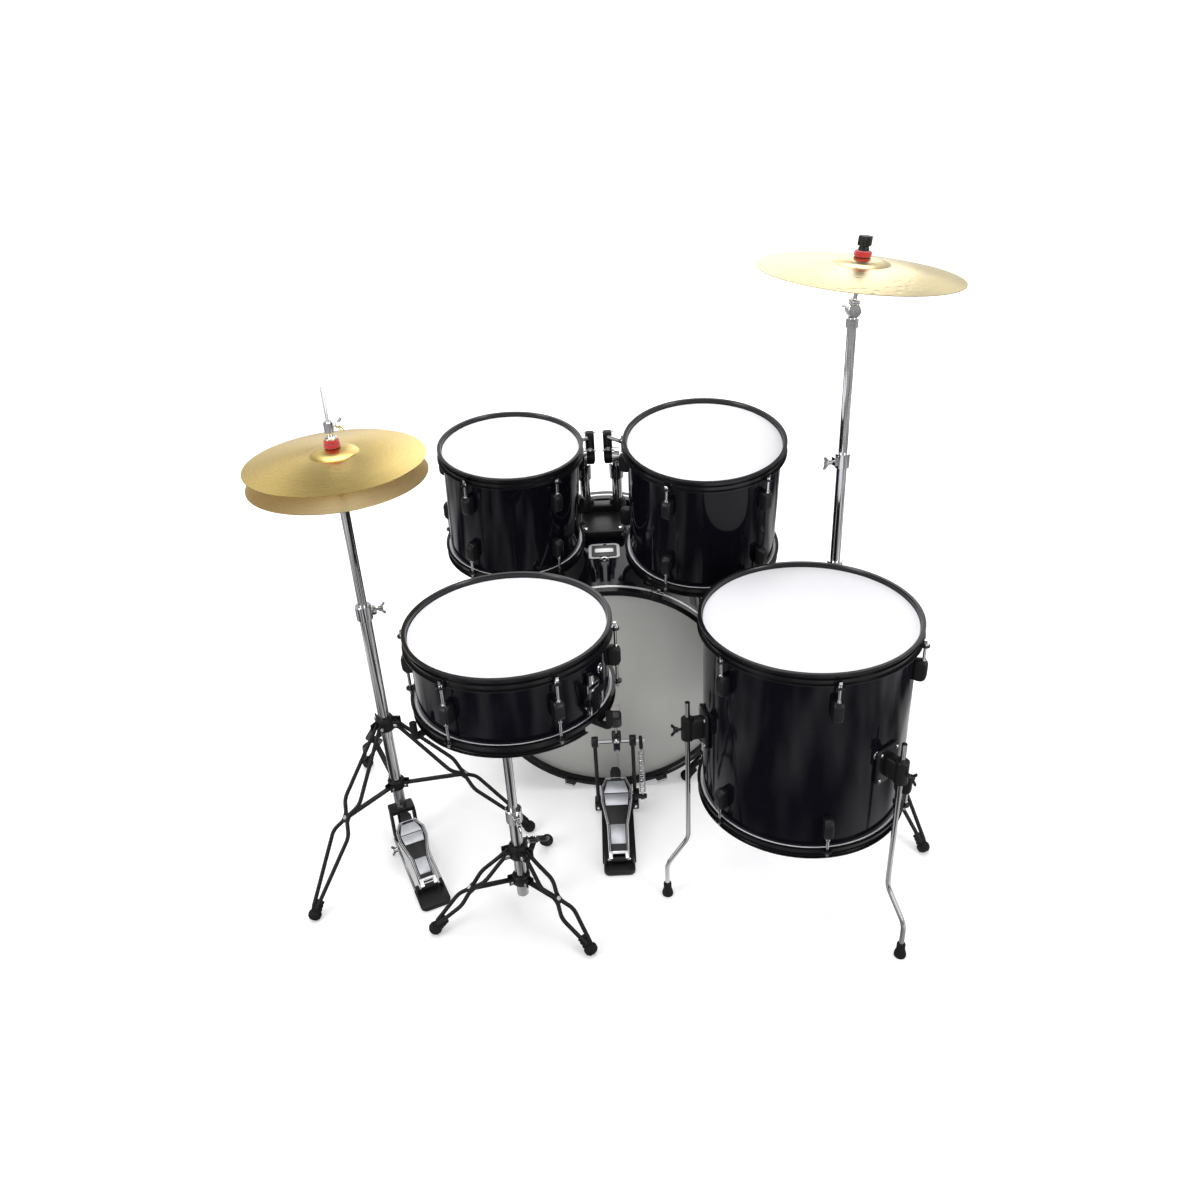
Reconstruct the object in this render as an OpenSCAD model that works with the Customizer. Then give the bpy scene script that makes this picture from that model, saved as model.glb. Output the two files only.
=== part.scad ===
// Five-piece acoustic drum kit with hi-hats and one crash cymbal.
// Millimetres. X to the player's right, Y away from the player, Z up.
// Origin: on the floor, under the lowest front edge of the bass drum's batter hoop.

/* [Bass drum] */
// Outside diameter of the bass drum shell (22 in)
bass_d = 558.8; // [540:0.1:570]
// Depth of the bass drum shell (18 in)
bass_depth = 457.2; // [440:0.1:470]
// How far the spurs tip the bass drum back, degrees
bass_tilt = 3.5; // [3:0.1:4]
// Depth of each wooden bass drum hoop
bass_hoop_w = 44; // [40:1:46]

/* [Rack toms] */
// Outside diameter of the left tom shell (12 in)
left_tom_d = 304.8; // [300:0.1:306]
// Depth of the left tom shell (10 in)
left_tom_depth = 254; // [250:0.1:256]
// Outside diameter of the right tom shell (13 in)
right_tom_d = 330.2; // [328:0.1:332]
// Depth of the right tom shell (11 in)
right_tom_depth = 279.4; // [275:0.1:281]

/* [Floor tom] */
// Outside diameter of the floor tom shell (16 in)
floor_tom_d = 406.4; // [400:0.1:410]
// Depth of the floor tom shell (16 in)
floor_tom_depth = 406.4; // [395:0.1:410]

/* [Snare drum] */
// Outside diameter of the snare shell (14 in)
snare_d = 355.6; // [352:0.1:358]
// Depth of the snare shell (5.5 in)
snare_depth = 139.7; // [136:0.1:142]

/* [Cymbals] */
// Diameter of both hi-hat cymbals (14 in)
hat_d = 355.6; // [330:0.1:360]
// Gap between the open hi-hat cymbals' rims
hat_gap = 34; // [30:1:36]
// Diameter of the crash cymbal (16 in)
crash_d = 406.4; // [380:0.1:420]
// Tilt of the crash cymbal, its right side lower, degrees
crash_tilt = 6; // [4:0.5:8]

/* [Shells] */
// Wall of every drum shell
wall = 7; // [6:0.5:9]

/* [Hidden] */
$fn = 96;

// ---- shared sizes ----
tension_rod_r = 2.9;      // shaft of a drum's tension rod
rod_off = 14.5;           // tension rod circle, outside the shell
ear_r = 8.4;              // round ear of a steel hoop
l_rod_r = 5.2;            // rod of a tom arm and floor tom leg
l_rod_off = 19;           // tom arm's rod circle, outside the shell
run = 0.06;               // running clearance of a sliding fit, radial
tube_big_r = 12.7;        // lower stand tubes and tom tubes
tube_mid_r = 11;          // middle tube of the cymbal stand
tube_small_r = 9.5;       // upper stand tubes

// ---- places ----
bass_r = bass_d / 2;
bass_hoop_r = bass_r + 14;
bass_lift = 6;                       // floor to the batter hoop, over the pedal's plate
bass_head_y = 18;                    // head film behind the hoop's front face
bass_len = bass_depth + 2 * bass_head_y;
holder_y = 380;                      // tom tubes along the bass drum
holder_x = 40;                       // tom tubes each side of the centre
badge_y = 203;
vent_y = 163;
spur_y = 372;                        // spur brackets along the bass drum

left_tom_at = [-196.7, 137, 876];
left_tom_lean = [7.6, 20.3];         // tilt, and the way it faces
right_tom_at = [227.9, 47, 900.4];
right_tom_lean = [10.4, 2.6];
floor_tom_at = [389.7, -328.3, 676.4];
snare_at = [-176.4, -435.8, 755.4];
snare_lean = [0, 0];
hat_at = [-515.2, -131.1];
crash_at = [520.9, 24.3];
snare_stand_at = [-212.4, -384.3];

left_tom_lugs_from = -122.7;         // angle of one lug, seen from above
right_tom_lugs_from = -121.1;
floor_tom_lugs_from = -147.1;
snare_lugs_from = -121.4;
floor_leg_angles = [187, 307, 67];
floor_leg_circle = 240;              // legs from the drum's axis
floor_leg_kick = 48;                 // how far each foot stands outside its rod
floor_leg_top = 512;
floor_leg_bend = 158;

// ---- small helpers ----
function arc(c, r, a0, a1, n) = [for (i = [0:n]) let (a = a0 + (a1 - a0) * i / n)
    [c[0] + r * cos(a), c[1] + r * sin(a)]];
function rounded(w, h, r, n = 4) = concat(
    arc([w/2 - r, h/2 - r], r, 0, 90, n), arc([-w/2 + r, h/2 - r], r, 90, 180, n),
    arc([-w/2 + r, -h/2 + r], r, 180, 270, n), arc([w/2 - r, -h/2 + r], r, 270, 360, n));
function bass_point(p) = let (z = p[2] + bass_hoop_r)
    [p[0], p[1] * cos(bass_tilt) - z * sin(bass_tilt),
     bass_lift + p[1] * sin(bass_tilt) + z * cos(bass_tilt)];
function normal(lean) = [sin(lean[0]) * sin(lean[1]), -sin(lean[0]) * cos(lean[1]), cos(lean[0])];
function unit(v) = v / norm(v);
// A point given in the kit's frame, turned into the frame of a drum at c that leans
function into(p, c, lean) = let (q = p - c, a = lean[1], t = lean[0],
        x = q[0] * cos(a) + q[1] * sin(a), y = -q[0] * sin(a) + q[1] * cos(a))
    [x, y * cos(t) + q[2] * sin(t), -y * sin(t) + q[2] * cos(t)];

module at_drum(c, lean) { translate(c) rotate([lean[0], 0, lean[1]]) children(); }
module in_bass() { translate([0, 0, bass_lift]) rotate([bass_tilt, 0, 0])
    translate([0, 0, bass_hoop_r]) children(); }
// Along the bass drum's axis: the child's Z becomes +Y
module along_bass() { in_bass() rotate([-90, 0, 0]) children(); }
// A round bar from a to b
module bar(a, b, r) { v = b - a; l = norm(v);
    translate(a) rotate([0, acos(v[2] / l), atan2(v[1], v[0])]) cylinder(r = r, h = l); }
module around(n, from) { for (i = [0:n-1]) rotate(from + i * 360 / n) children(); }
module plate(w, l, h, r = 4) { linear_extrude(h) polygon(rounded(w, l, r)); }

// Wing bolt along +X, its thread's end at the origin
module wing_bolt(reach = 14) {
    rotate([0, 90, 0]) cylinder(r = 3, h = reach);
    translate([reach - 1, 0, 0]) rotate([0, 90, 0]) cylinder(r = 5.5, h = 9);
    translate([reach + 5, 0, 0]) rotate([90, 0, 0]) linear_extrude(3.5, center = true)
        polygon([[-3, 0], [0, 5], [8, 15], [12, 14], [9, 4], [10, 0],
                 [9, -4], [12, -14], [8, -15], [0, -5]]);
}

// ---- drum parts, with the top head's plane at z = 0 and the shell below it ----
module shell_tube(d, depth) {
    r = d / 2;
    rotate_extrude() polygon([[r - wall, -depth + wall - 1], [r - 1.5, -depth], [r, -depth + 1.5],
        [r, -1.5], [r - 1.5, 0], [r - wall, -wall + 1]]);
}
module head(d) {
    r = d / 2;
    rotate_extrude() polygon([[0, 0.2], [0, 0.7], [r + 0.2, 0.7], [r + 1.3, -0.6], [r + 1.3, -5],
        [r + 5, -5], [r + 5, -12], [r + 0.5, -12], [r + 0.5, -0.3], [r - 0.4, 0.2]]);
}
module heads(d, depth) { head(d); translate([0, 0, -depth]) mirror([0, 0, 1]) head(d); }
module hoop(d, n, from, gap_at = [], gap = 0) {
    r = d / 2;
    difference() {
        union() {
            rotate_extrude() polygon([[r + 1.8, -4.8], [r + 1.8, 8], [r + 3, 10.4], [r + 9, 10.4],
                [r + 10.4, 9.2], [r + 10.4, 6.8], [r + 9, 6.8], [r + 8.8, 8.4], [r + 4.4, 8.4],
                [r + 4, 7.8], [r + 4, -2.8], [r + 7.6, -2.8], [r + 7.6, -12.2], [r + 11.8, -12.2],
                [r + 11.8, -14], [r + 5.5, -14], [r + 5.5, -4.8]]);
            around(n, from) translate([r + rod_off, 0, -14.8]) cylinder(r = ear_r, h = 3, $fn = 32);
        }
        around(n, from) translate([r + rod_off, 0, -17]) cylinder(r = 3.4, h = 7, $fn = 24);
        for (a = gap_at) rotate(a) translate([r - 5, -gap / 2, -2]) cube([20, gap, 20]);
    }
}
module hoops(d, depth, n, from) { hoop(d, n, from);
    translate([0, 0, -depth]) mirror([0, 0, 1]) hoop(d, n, from); }
// Lug that holds one rod: top edge at z = -drop
module lug(d, drop, tall) {
    r = d / 2;
    difference() {
        rotate([90, 0, 0]) linear_extrude(20, center = true) polygon([[r - 4, -drop - 1],
            [r + 12, -drop], [r + 20, -drop - 3], [r + 23, -drop - 9], [r + 23, -drop - tall + 9],
            [r + 20, -drop - tall + 3], [r + 12, -drop - tall], [r - 4, -drop - tall + 1]]);
        translate([0, 0, -drop - tall - 1]) cylinder(r = r, h = tall + 2);
        translate([r + rod_off, 0, -drop - tall - 1]) cylinder(r = 3.1, h = tall + 2, $fn = 24);
    }
}
module lugs(d, depth, n, from, drop, tall) {
    around(n, from) lug(d, drop, tall);
    translate([0, 0, -depth]) mirror([0, 0, 1]) around(n, from) lug(d, drop, tall);
}
module tension_rod(d, reach) {
    translate([d / 2 + rod_off, 0, 0]) {
        translate([0, 0, -reach]) cylinder(r = tension_rod_r, h = reach - 10, $fn = 24);
        translate([0, 0, -11.8]) cylinder(r = 5.4, h = 1.6, $fn = 24);
        translate([0, 0, -10.4]) cylinder(r = 4, h = 3.4, $fn = 24);
        translate([-2.8, -2.8, -7.2]) cube([5.6, 5.6, 6]);
    }
}
module tension_rods(d, depth, n, from, reach) {
    around(n, from) tension_rod(d, reach);
    translate([0, 0, -depth]) mirror([0, 0, 1]) around(n, from) tension_rod(d, reach);
}

// ---- bass drum ----
module bass_drum_shell() { color([0.03, 0.03, 0.035]) along_bass() difference() {
    translate([0, 0, bass_len - bass_head_y]) shell_tube(bass_d, bass_depth);
    for (x = [-holder_x, holder_x]) translate([x, 0, holder_y]) rotate([90, 0, 0])
        cylinder(r = tube_big_r + 2, h = bass_r + 5);
    translate([0, 0, vent_y]) rotate([90, 0, 0]) cylinder(r = 6, h = bass_r + 5);
} }
module bass_head() {
    r = bass_r;
    rotate_extrude() polygon([[0, 0], [0, 0.5], [r - 0.4, 0.5], [r + 0.5, 1], [r + 0.5, 14], [r + 4.6, 14],
        [r + 4.6, 6], [r + 1.2, 6], [r + 1.2, 0]]);
}
module bass_drum_heads() { color([0.35, 0.35, 0.36]) along_bass() {
    translate([0, 0, bass_head_y - 0.7]) bass_head();
    translate([0, 0, bass_len - bass_head_y + 0.7]) mirror([0, 0, 1]) bass_head();
} }
module bass_hoop() {
    r = bass_r;
    rotate_extrude() polygon([[r + 1.6, bass_head_y + 4.6], [r + 4.8, bass_head_y + 4.6],
        [r + 4.8, bass_hoop_w], [r + 12.5, bass_hoop_w], [r + 14, bass_hoop_w - 1.5], [r + 14, 1.5],
        [r + 12.5, 0], [r + 3, 0], [r + 1.6, 1.5]]);
}
module bass_drum_hoops() { color([0.05, 0.05, 0.055]) along_bass() {
    bass_hoop();
    translate([0, 0, bass_len]) mirror([0, 0, 1]) bass_hoop();
} }
bass_rod_off = 26;                    // T-rod circle, outside the shell
module each_bass_rod() { for (i = [0:7]) rotate(22.5 + i * 45) children(); }
module bass_lug() {
    r = bass_r;
    difference() {
        rotate([90, 0, 0]) linear_extrude(24, center = true) polygon([[r - 6, 92], [r + 20, 92],
            [r + 33, 97], [r + 35, 104], [r + 35, 132], [r + 33, 139], [r + 20, 144], [r - 6, 144]]);
        translate([0, 0, 90]) cylinder(r = r, h = 60);
        translate([r + bass_rod_off, 0, 90]) cylinder(r = 3.3, h = 60, $fn = 24);
    }
}
module bass_drum_lugs() { color([0.06, 0.06, 0.065]) along_bass() each_bass_rod() {
    bass_lug();
    translate([0, 0, bass_len]) mirror([0, 0, 1]) bass_lug();
} }
// Claw hooked over the hoop, and its T-rod back to the lug
module bass_claw() {
    r = bass_r;
    difference() {
        rotate([90, 0, 0]) linear_extrude(25, center = true) polygon([[r + 5, -2.4], [r + 16.4, -2.4],
            [r + 31, 12], [r + 31, 17], [r + 20, 17], [r + 14.2, 12], [r + 14.2, -0.2], [r + 5, -0.2]]);
        translate([r + bass_rod_off, 0, 2]) cylinder(r = 3.4, h = 20, $fn = 24);
    }
    translate([r + bass_rod_off, 0, 2.6]) cylinder(r = 3.1, h = 118, $fn = 24);
    translate([r + bass_rod_off, 0, 2.2]) rotate([90, 0, 0]) cylinder(r = 3.4, h = 26, center = true);
}
module bass_drum_claws() { color([0.55, 0.55, 0.57]) along_bass() each_bass_rod() {
    bass_claw();
    translate([0, 0, bass_len]) mirror([0, 0, 1]) bass_claw();
} }

// ---- tom holder on the bass drum, and the spurs ----
module tom_holder() { color([0.06, 0.06, 0.065]) {
    in_bass() difference() {
        union() {
            for (x = [-holder_x, holder_x]) translate([x, holder_y, bass_r - 14])
                cylinder(r = 21, h = 66);
            translate([0, holder_y, bass_r - 14]) linear_extrude(50) square([2 * holder_x, 26], center = true);
            translate([0, holder_y - 45, bass_r - 14]) linear_extrude(22) polygon(rounded(118, 150, 12));
        }
        translate([0, holder_y + 60, 0]) rotate([90, 0, 0]) cylinder(r = bass_r, h = 300);
        for (x = [-holder_x, holder_x]) translate([x, holder_y, bass_r - 20])
            cylinder(r = tube_big_r + run, h = 90);
    }
    for (s = [-1, 1]) in_bass() translate([s * (holder_x + 20), holder_y, bass_r + 34])
        scale([s, 1, 1]) wing_bolt(10);
    // badge plate and vent grommet on the crown of the shell
    in_bass() translate([0, badge_y, 0]) rotate([90, 0, 0]) rotate([0, 0, 90 - 7.6])
        translate([0, 0, -35]) rotate_extrude(angle = 15.2) translate([bass_r + 0.05, 0]) square([1.6, 70]);
    in_bass() translate([0, vent_y, bass_r - 10]) difference() {
        union() { cylinder(r = 5.7, h = 12, $fn = 32); translate([0, 0, 10.4]) cylinder(r = 10, h = 2.4, $fn = 32); }
        translate([0, 0, -1]) cylinder(r = 4, h = 20, $fn = 32);
    }
} }
spur_low = 0;                          // bracket's angle below the drum's centre line
spur_out = 24;                         // hinge axis above level, so the spur splays out
spur_lean = 26;                        // spur's lean away from the player
spur_hub = [cos(spur_low) * (bass_r + 20), spur_y, -sin(spur_low) * (bass_r + 20)];
module spur_frame() { in_bass() translate(spur_hub) rotate([0, -spur_out, 0]) children(); }
module spur_bracket() {
    in_bass() difference() {
        union() {
            rotate([0, spur_low, 0]) translate([bass_r - 8, spur_y, 0]) rotate([0, 90, 0])
                linear_extrude(14) polygon(rounded(76, 60, 10));
            translate(spur_hub) rotate([0, -spur_out, 0]) translate([-26, 0, 0]) rotate([0, 90, 0])
                cylinder(r = 20, h = 30);
        }
        translate([0, spur_y + 60, 0]) rotate([90, 0, 0]) cylinder(r = bass_r, h = 120);
        translate(spur_hub) rotate([0, -spur_out, 0]) translate([-30, 0, 0]) rotate([0, 90, 0])
            cylinder(r = 5 + run, h = 40, $fn = 32);
    }
}
module spur_brackets() { color([0.06, 0.06, 0.065]) { spur_bracket(); mirror([1, 0, 0]) spur_bracket(); } }
// Hub to the centre of the rubber ball, so that the ball rests on the floor
spur_ball = 11.2;
spur_gap = 13;                         // rod's line outside the hub
spur_reach = (bass_point(spur_hub)[2] + spur_gap * sin(spur_out) * cos(bass_tilt) - spur_ball)
    / (cos(spur_lean) * cos(spur_out) * cos(bass_tilt) - sin(spur_lean) * sin(bass_tilt));
module spur() { spur_frame() {
    translate([-17, 0, 0]) rotate([0, 90, 0]) cylinder(r = 5, h = 22, $fn = 32);
    translate([4.1, 0, 0]) rotate([0, 90, 0]) cylinder(r = 19, h = 18);
    rotate([spur_lean, 0, 0]) {
        translate([spur_gap, 0, -spur_reach + 5]) cylinder(r = 7.9, h = spur_reach - 5);
        translate([spur_gap, 0, -spur_reach]) cylinder(r = 11, h = 36);
        translate([spur_gap, 0, -spur_reach]) sphere(r = spur_ball);
    }
} }
module right_spur() { color([0.75, 0.75, 0.78]) spur(); }
module left_spur() { color([0.75, 0.75, 0.78]) mirror([1, 0, 0]) spur(); }

// ---- rack tom arms ----
tilter_z = 770;                        // ratchet's height above the floor
arm_rise = 50;                         // ratchet to the arm's rod
tilter_y = bass_point([0, holder_y, (tilter_z - 29) / cos(bass_tilt) - bass_hoop_r])[1];
function tilter(s) = [s * holder_x, tilter_y, tilter_z];
function rod_start(s) = tilter(s) + [0, 0, arm_rise];
// Where the rod bends down beside the tom: on the tom's rod circle, facing the tilter
function tom_axis_at(c, lean, z) = c - normal(lean) * (c[2] - z) / normal(lean)[2];
function rod_bend(s, c, lean, d) = let (a = tom_axis_at(c, lean, tilter_z + arm_rise), p = rod_start(s),
        v = unit([p[0] - a[0], p[1] - a[1], 0])) a + v * (d / 2 + l_rod_off);
tube_down = 250;                       // tom tube below the ratchet
module tom_tube(s) {
    difference() {
        union() {
            translate(tilter(s)) rotate([bass_tilt, 0, 0]) translate([0, 0, -tube_down])
                cylinder(r = tube_big_r, h = tube_down - 26);
            translate(tilter(s)) rotate([bass_tilt, 0, 0]) translate([0, 0, -60])
                cylinder(r = 17.5, h = 36);
            translate(tilter(s)) rotate([bass_tilt, 0, 0]) translate([0, 0, -30])
                cylinder(r = 8.6, h = 16);
            translate(tilter(s)) rotate([0, 90, 0]) translate([0, 0, -9]) cylinder(r = 21, h = 18);
        }
        translate(tilter(s)) rotate([0, 90, 0]) translate([0, 0, -30]) cylinder(r = 4.1, h = 60, $fn = 32);
    }
}
module tom_arm(s, c, lean, d) {
    b = rod_bend(s, c, lean, d);
    start = rod_start(s) - [s * 18.3, 0, 0];
    // ratchet half, arm and its wing bolt, on the side that faces the kit's centre
    translate(tilter(s) - [s * 18.3, 0, 0]) {
        rotate([0, 90, 0]) cylinder(r = 21, h = 18, center = true);
        translate([0, 0, arm_rise / 2]) cube([18, 26, arm_rise], center = true);
        translate([0, 0, arm_rise]) rotate([0, 90, 0]) cylinder(r = 14, h = 18, center = true);
        rotate([0, 90, 0]) translate([0, 0, s > 0 ? 0 : -36]) cylinder(r = 4, h = 36, $fn = 32);
        translate([0, -12, arm_rise / 2]) rotate([0, 0, -90]) wing_bolt(6);
    }
    bar(start, b, l_rod_r);
    translate(b) sphere(r = l_rod_r * 1.03);
    bar(b, b - normal(lean) * 132, l_rod_r);
}
module tom_bracket(s, c, lean, d) {
    b = into(rod_bend(s, c, lean, d), c, lean);
    a = atan2(b[1], b[0]);
    rod_r = norm([b[0], b[1]]);
    at_drum(c, lean) rotate(a) translate([0, 0, b[2]]) {
        difference() {
            union() {
                translate([d / 2 - 8, 0, -118]) linear_extrude(72) translate([9, 0]) polygon(rounded(18, 54, 5));
                translate([rod_r, 0, -108]) cylinder(r = 12, h = 50);
                translate([(rod_r + d / 2) / 2 + 1, 0, -83]) cube([rod_r - d / 2, 22, 46], center = true);
            }
            translate([0, 0, -150]) cylinder(r = d / 2, h = 150);
            translate([rod_r, 0, -150]) cylinder(r = l_rod_r + run, h = 150, $fn = 48);
        }
        translate([rod_r, s * 11, -83]) rotate([0, 0, s * 90]) wing_bolt(10);
    }
}

// ---- one module for both rack toms ----
module tom_part(what, c, lean, d, depth, from) {
    at_drum(c, lean) rotate(-lean[1]) {
        if (what == "shell") difference() {
            shell_tube(d, depth);
            rotate(from + 180) translate([d / 2 - 20, 0, -depth / 2]) rotate([0, 90, 0]) cylinder(r = 5, h = 40);
        }
        if (what == "heads") heads(d, depth);
        if (what == "hoops") hoops(d, depth, 5, from);
        if (what == "lugs") lugs(d, depth, 5, from, 44, 46);
        if (what == "rods") tension_rods(d, depth, 5, from, 84);
    }
}
module left_part(what) { tom_part(what, left_tom_at, left_tom_lean, left_tom_d, left_tom_depth, left_tom_lugs_from); }
module right_part(what) { tom_part(what, right_tom_at, right_tom_lean, right_tom_d, right_tom_depth, right_tom_lugs_from); }
module left_tom_tube() { color([0.7, 0.7, 0.72]) tom_tube(-1); }
module left_tom_arm() { color([0.6, 0.6, 0.62]) tom_arm(-1, left_tom_at, left_tom_lean, left_tom_d); }
module left_tom_shell() { color([0.03, 0.03, 0.035]) left_part("shell"); }
module left_tom_heads() { color([0.93, 0.93, 0.93]) left_part("heads"); }
module left_tom_hoops() { color([0.06, 0.06, 0.065]) left_part("hoops"); }
module left_tom_lugs() { color([0.08, 0.08, 0.085]) left_part("lugs"); }
module left_tom_rods() { color([0.8, 0.8, 0.82]) left_part("rods"); }
module left_tom_bracket() { color([0.08, 0.08, 0.085]) tom_bracket(-1, left_tom_at, left_tom_lean, left_tom_d); }
module right_tom_tube() { color([0.7, 0.7, 0.72]) tom_tube(1); }
module right_tom_arm() { color([0.6, 0.6, 0.62]) tom_arm(1, right_tom_at, right_tom_lean, right_tom_d); }
module right_tom_shell() { color([0.03, 0.03, 0.035]) right_part("shell"); }
module right_tom_heads() { color([0.93, 0.93, 0.93]) right_part("heads"); }
module right_tom_hoops() { color([0.06, 0.06, 0.065]) right_part("hoops"); }
module right_tom_lugs() { color([0.08, 0.08, 0.085]) right_part("lugs"); }
module right_tom_rods() { color([0.8, 0.8, 0.82]) right_part("rods"); }
module right_tom_bracket() { color([0.08, 0.08, 0.085]) tom_bracket(1, right_tom_at, right_tom_lean, right_tom_d); }

// ---- floor tom ----
module in_floor_tom() { translate(floor_tom_at) children(); }
module floor_tom_shell() { color([0.03, 0.03, 0.035]) in_floor_tom() difference() {
    shell_tube(floor_tom_d, floor_tom_depth);
    rotate(-60) translate([floor_tom_d / 2 - 20, 0, -200]) rotate([0, 90, 0]) cylinder(r = 5, h = 40);
} }
module floor_tom_heads() { color([0.93, 0.93, 0.92]) in_floor_tom() heads(floor_tom_d, floor_tom_depth); }
module floor_tom_hoops() { color([0.06, 0.06, 0.065]) in_floor_tom()
    hoops(floor_tom_d, floor_tom_depth, 6, floor_tom_lugs_from); }
module floor_tom_lugs() { color([0.08, 0.08, 0.085]) in_floor_tom()
    lugs(floor_tom_d, floor_tom_depth, 6, floor_tom_lugs_from, 44, 46); }
module floor_tom_rods() { color([0.8, 0.8, 0.82]) in_floor_tom()
    tension_rods(floor_tom_d, floor_tom_depth, 6, floor_tom_lugs_from, 84); }
leg_bracket_z = 448;                   // middle of each leg bracket above the floor
module floor_tom_brackets() { color([0.08, 0.08, 0.085]) in_floor_tom()
    for (a = floor_leg_angles) rotate(a) translate([0, 0, leg_bracket_z - floor_tom_at[2]]) {
        difference() {
            union() {
                translate([floor_tom_d / 2 - 8, 0, -40]) linear_extrude(80) translate([9, 0]) polygon(rounded(18, 60, 5));
                translate([floor_leg_circle, 0, -26]) cylinder(r = 13, h = 52);
                translate([(floor_tom_d / 2 + floor_leg_circle) / 2, 0, 0]) cube([36, 24, 48], center = true);
            }
            translate([0, 0, -60]) cylinder(r = floor_tom_d / 2, h = 120);
            translate([floor_leg_circle, 0, -60]) cylinder(r = l_rod_r + run, h = 120, $fn = 48);
        }
        translate([floor_leg_circle + 12, 0, 0]) wing_bolt(10);
    } }
module floor_tom_leg(i) {
    translate([floor_tom_at[0], floor_tom_at[1], 0]) rotate(floor_leg_angles[i]) {
        kick = [floor_leg_circle + floor_leg_kick, 0, 88];
        translate([floor_leg_circle, 0, floor_leg_bend]) cylinder(r = l_rod_r, h = floor_leg_top - floor_leg_bend);
        translate([floor_leg_circle, 0, floor_leg_bend]) sphere(r = l_rod_r * 1.03);
        bar([floor_leg_circle, 0, floor_leg_bend], kick, l_rod_r);
        translate(kick) sphere(r = l_rod_r * 1.03);
        translate([kick[0], 0, 20]) cylinder(r = l_rod_r, h = kick[2] - 20);
        // rubber foot
        translate([kick[0], 0, 0]) rotate_extrude() polygon(concat([[0, 0], [11, 0]],
            arc([11, 3], 2.5, -60, 60, 4), [[11, 8], [8.5, 20], [8.5, 34], [0, 34]]));
    }
}
module floor_tom_leg_1() { color([0.75, 0.75, 0.78]) floor_tom_leg(0); }
module floor_tom_leg_2() { color([0.75, 0.75, 0.78]) floor_tom_leg(1); }
module floor_tom_leg_3() { color([0.75, 0.75, 0.78]) floor_tom_leg(2); }

// ---- snare drum ----
strainer_angle = -38;                  // strainer's place round the shell
module in_snare() { at_drum(snare_at, snare_lean) rotate(-snare_lean[1]) children(); }
module snare_shell() { color([0.03, 0.03, 0.035]) in_snare() difference() {
    shell_tube(snare_d, snare_depth);
    rotate(-24) translate([snare_d / 2 - 20, 0, -52]) rotate([0, 90, 0]) cylinder(r = 5, h = 40);
} }
module snare_heads() { color([0.93, 0.93, 0.93]) in_snare() heads(snare_d, snare_depth); }
module snare_hoops() { color([0.06, 0.06, 0.065]) in_snare() {
    hoop(snare_d, 6, snare_lugs_from);
    translate([0, 0, -snare_depth]) mirror([0, 0, 1])
        hoop(snare_d, 6, snare_lugs_from, [strainer_angle, strainer_angle + 180], 34);
} }
module snare_lugs() { color([0.08, 0.08, 0.085]) in_snare() around(6, snare_lugs_from) lug(snare_d, 50, 40); }
module snare_rods() { color([0.8, 0.8, 0.82]) in_snare() tension_rods(snare_d, snare_depth, 6, snare_lugs_from, 66); }
// Snare wires under the bottom head: two end plates, coiled strands drawn as thin bars, two straps
wire_z = -snare_depth - 3.4;
module snare_wires() { color([0.78, 0.78, 0.8]) in_snare() rotate(strainer_angle) {
    for (i = [-7:7]) translate([-150, i * 3.6, wire_z]) rotate([0, 90, 0]) cylinder(r = 1.1, h = 300, $fn = 12);
    for (s = [-1, 1]) {
        translate([s * 152, 0, wire_z]) cube([14, 58, 3], center = true);
        translate([s * 164, 0, wire_z]) cube([14, 22, 0.8], center = true);
    }
} }
module snare_strainer() { color([0.7, 0.7, 0.72]) in_snare() {
    for (a = [strainer_angle, strainer_angle + 180]) rotate(a) difference() {
        translate([snare_d / 2 - 6, 0, -112]) linear_extrude(62) translate([11, 0]) polygon(rounded(22, 30, 4));
        translate([0, 0, -150]) cylinder(r = snare_d / 2, h = 150);
        if (a == strainer_angle) translate([snare_d / 2 + 9, 0, -96]) rotate([90, 0, 0])
            cylinder(r = 3 + run, h = 60, center = true, $fn = 32);
    }
    rotate(strainer_angle) translate([snare_d / 2 + 8, 0, -50.5]) cylinder(r = 6, h = 14, $fn = 32);
} }
// Throw-off lever, pivoted on a pin across the strainer
module snare_lever() { color([0.8, 0.8, 0.82]) in_snare() rotate(strainer_angle)
    translate([snare_d / 2 + 9, 0, -96]) {
        rotate([90, 0, 0]) cylinder(r = 3, h = 44, center = true, $fn = 32);
        for (s = [-1, 1]) translate([0, s * 18.5, 0]) rotate([90, 0, 0])
            linear_extrude(4, center = true) polygon([[-5, -5], [10, -4], [15, 30], [11, 36], [8, 34], [-4, 6]]);
        translate([13, 0, 33]) cube([5, 41, 14], center = true);
    } }

// ---- stands ----
// Double bar leg of a tripod: a flat bar bent into two long loops, as one cut plate
leg_bar = 8;
// Each loop is a long triangle: widest beside the neck, closing towards the collar and the foot.
module double_bar_leg(l, neck, wide_up, wide_low) {
    w = leg_bar;
    up_x = neck - 34;
    low_x = neck + 34;
    outer = [[0, w + 3], [up_x, wide_up / 2 + w], [neck - 6, 9], [neck + 6, 9],
        [low_x, wide_low / 2 + w], [l, w + 2]];
    linear_extrude(leg_bar, center = true) difference() {
        polygon(concat(outer, [for (i = [len(outer) - 1:-1:0]) [outer[i][0], -outer[i][1]]]));
        polygon([[22, 3], [up_x, wide_up / 2], [neck - 16, 2], [neck - 16, -2], [up_x, -wide_up / 2], [22, -3]]);
        polygon([[neck + 16, 2], [low_x, wide_low / 2], [l - 14, 2], [l - 14, -2],
            [low_x, -wide_low / 2], [neck + 16, -2]]);
    }
}
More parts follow.
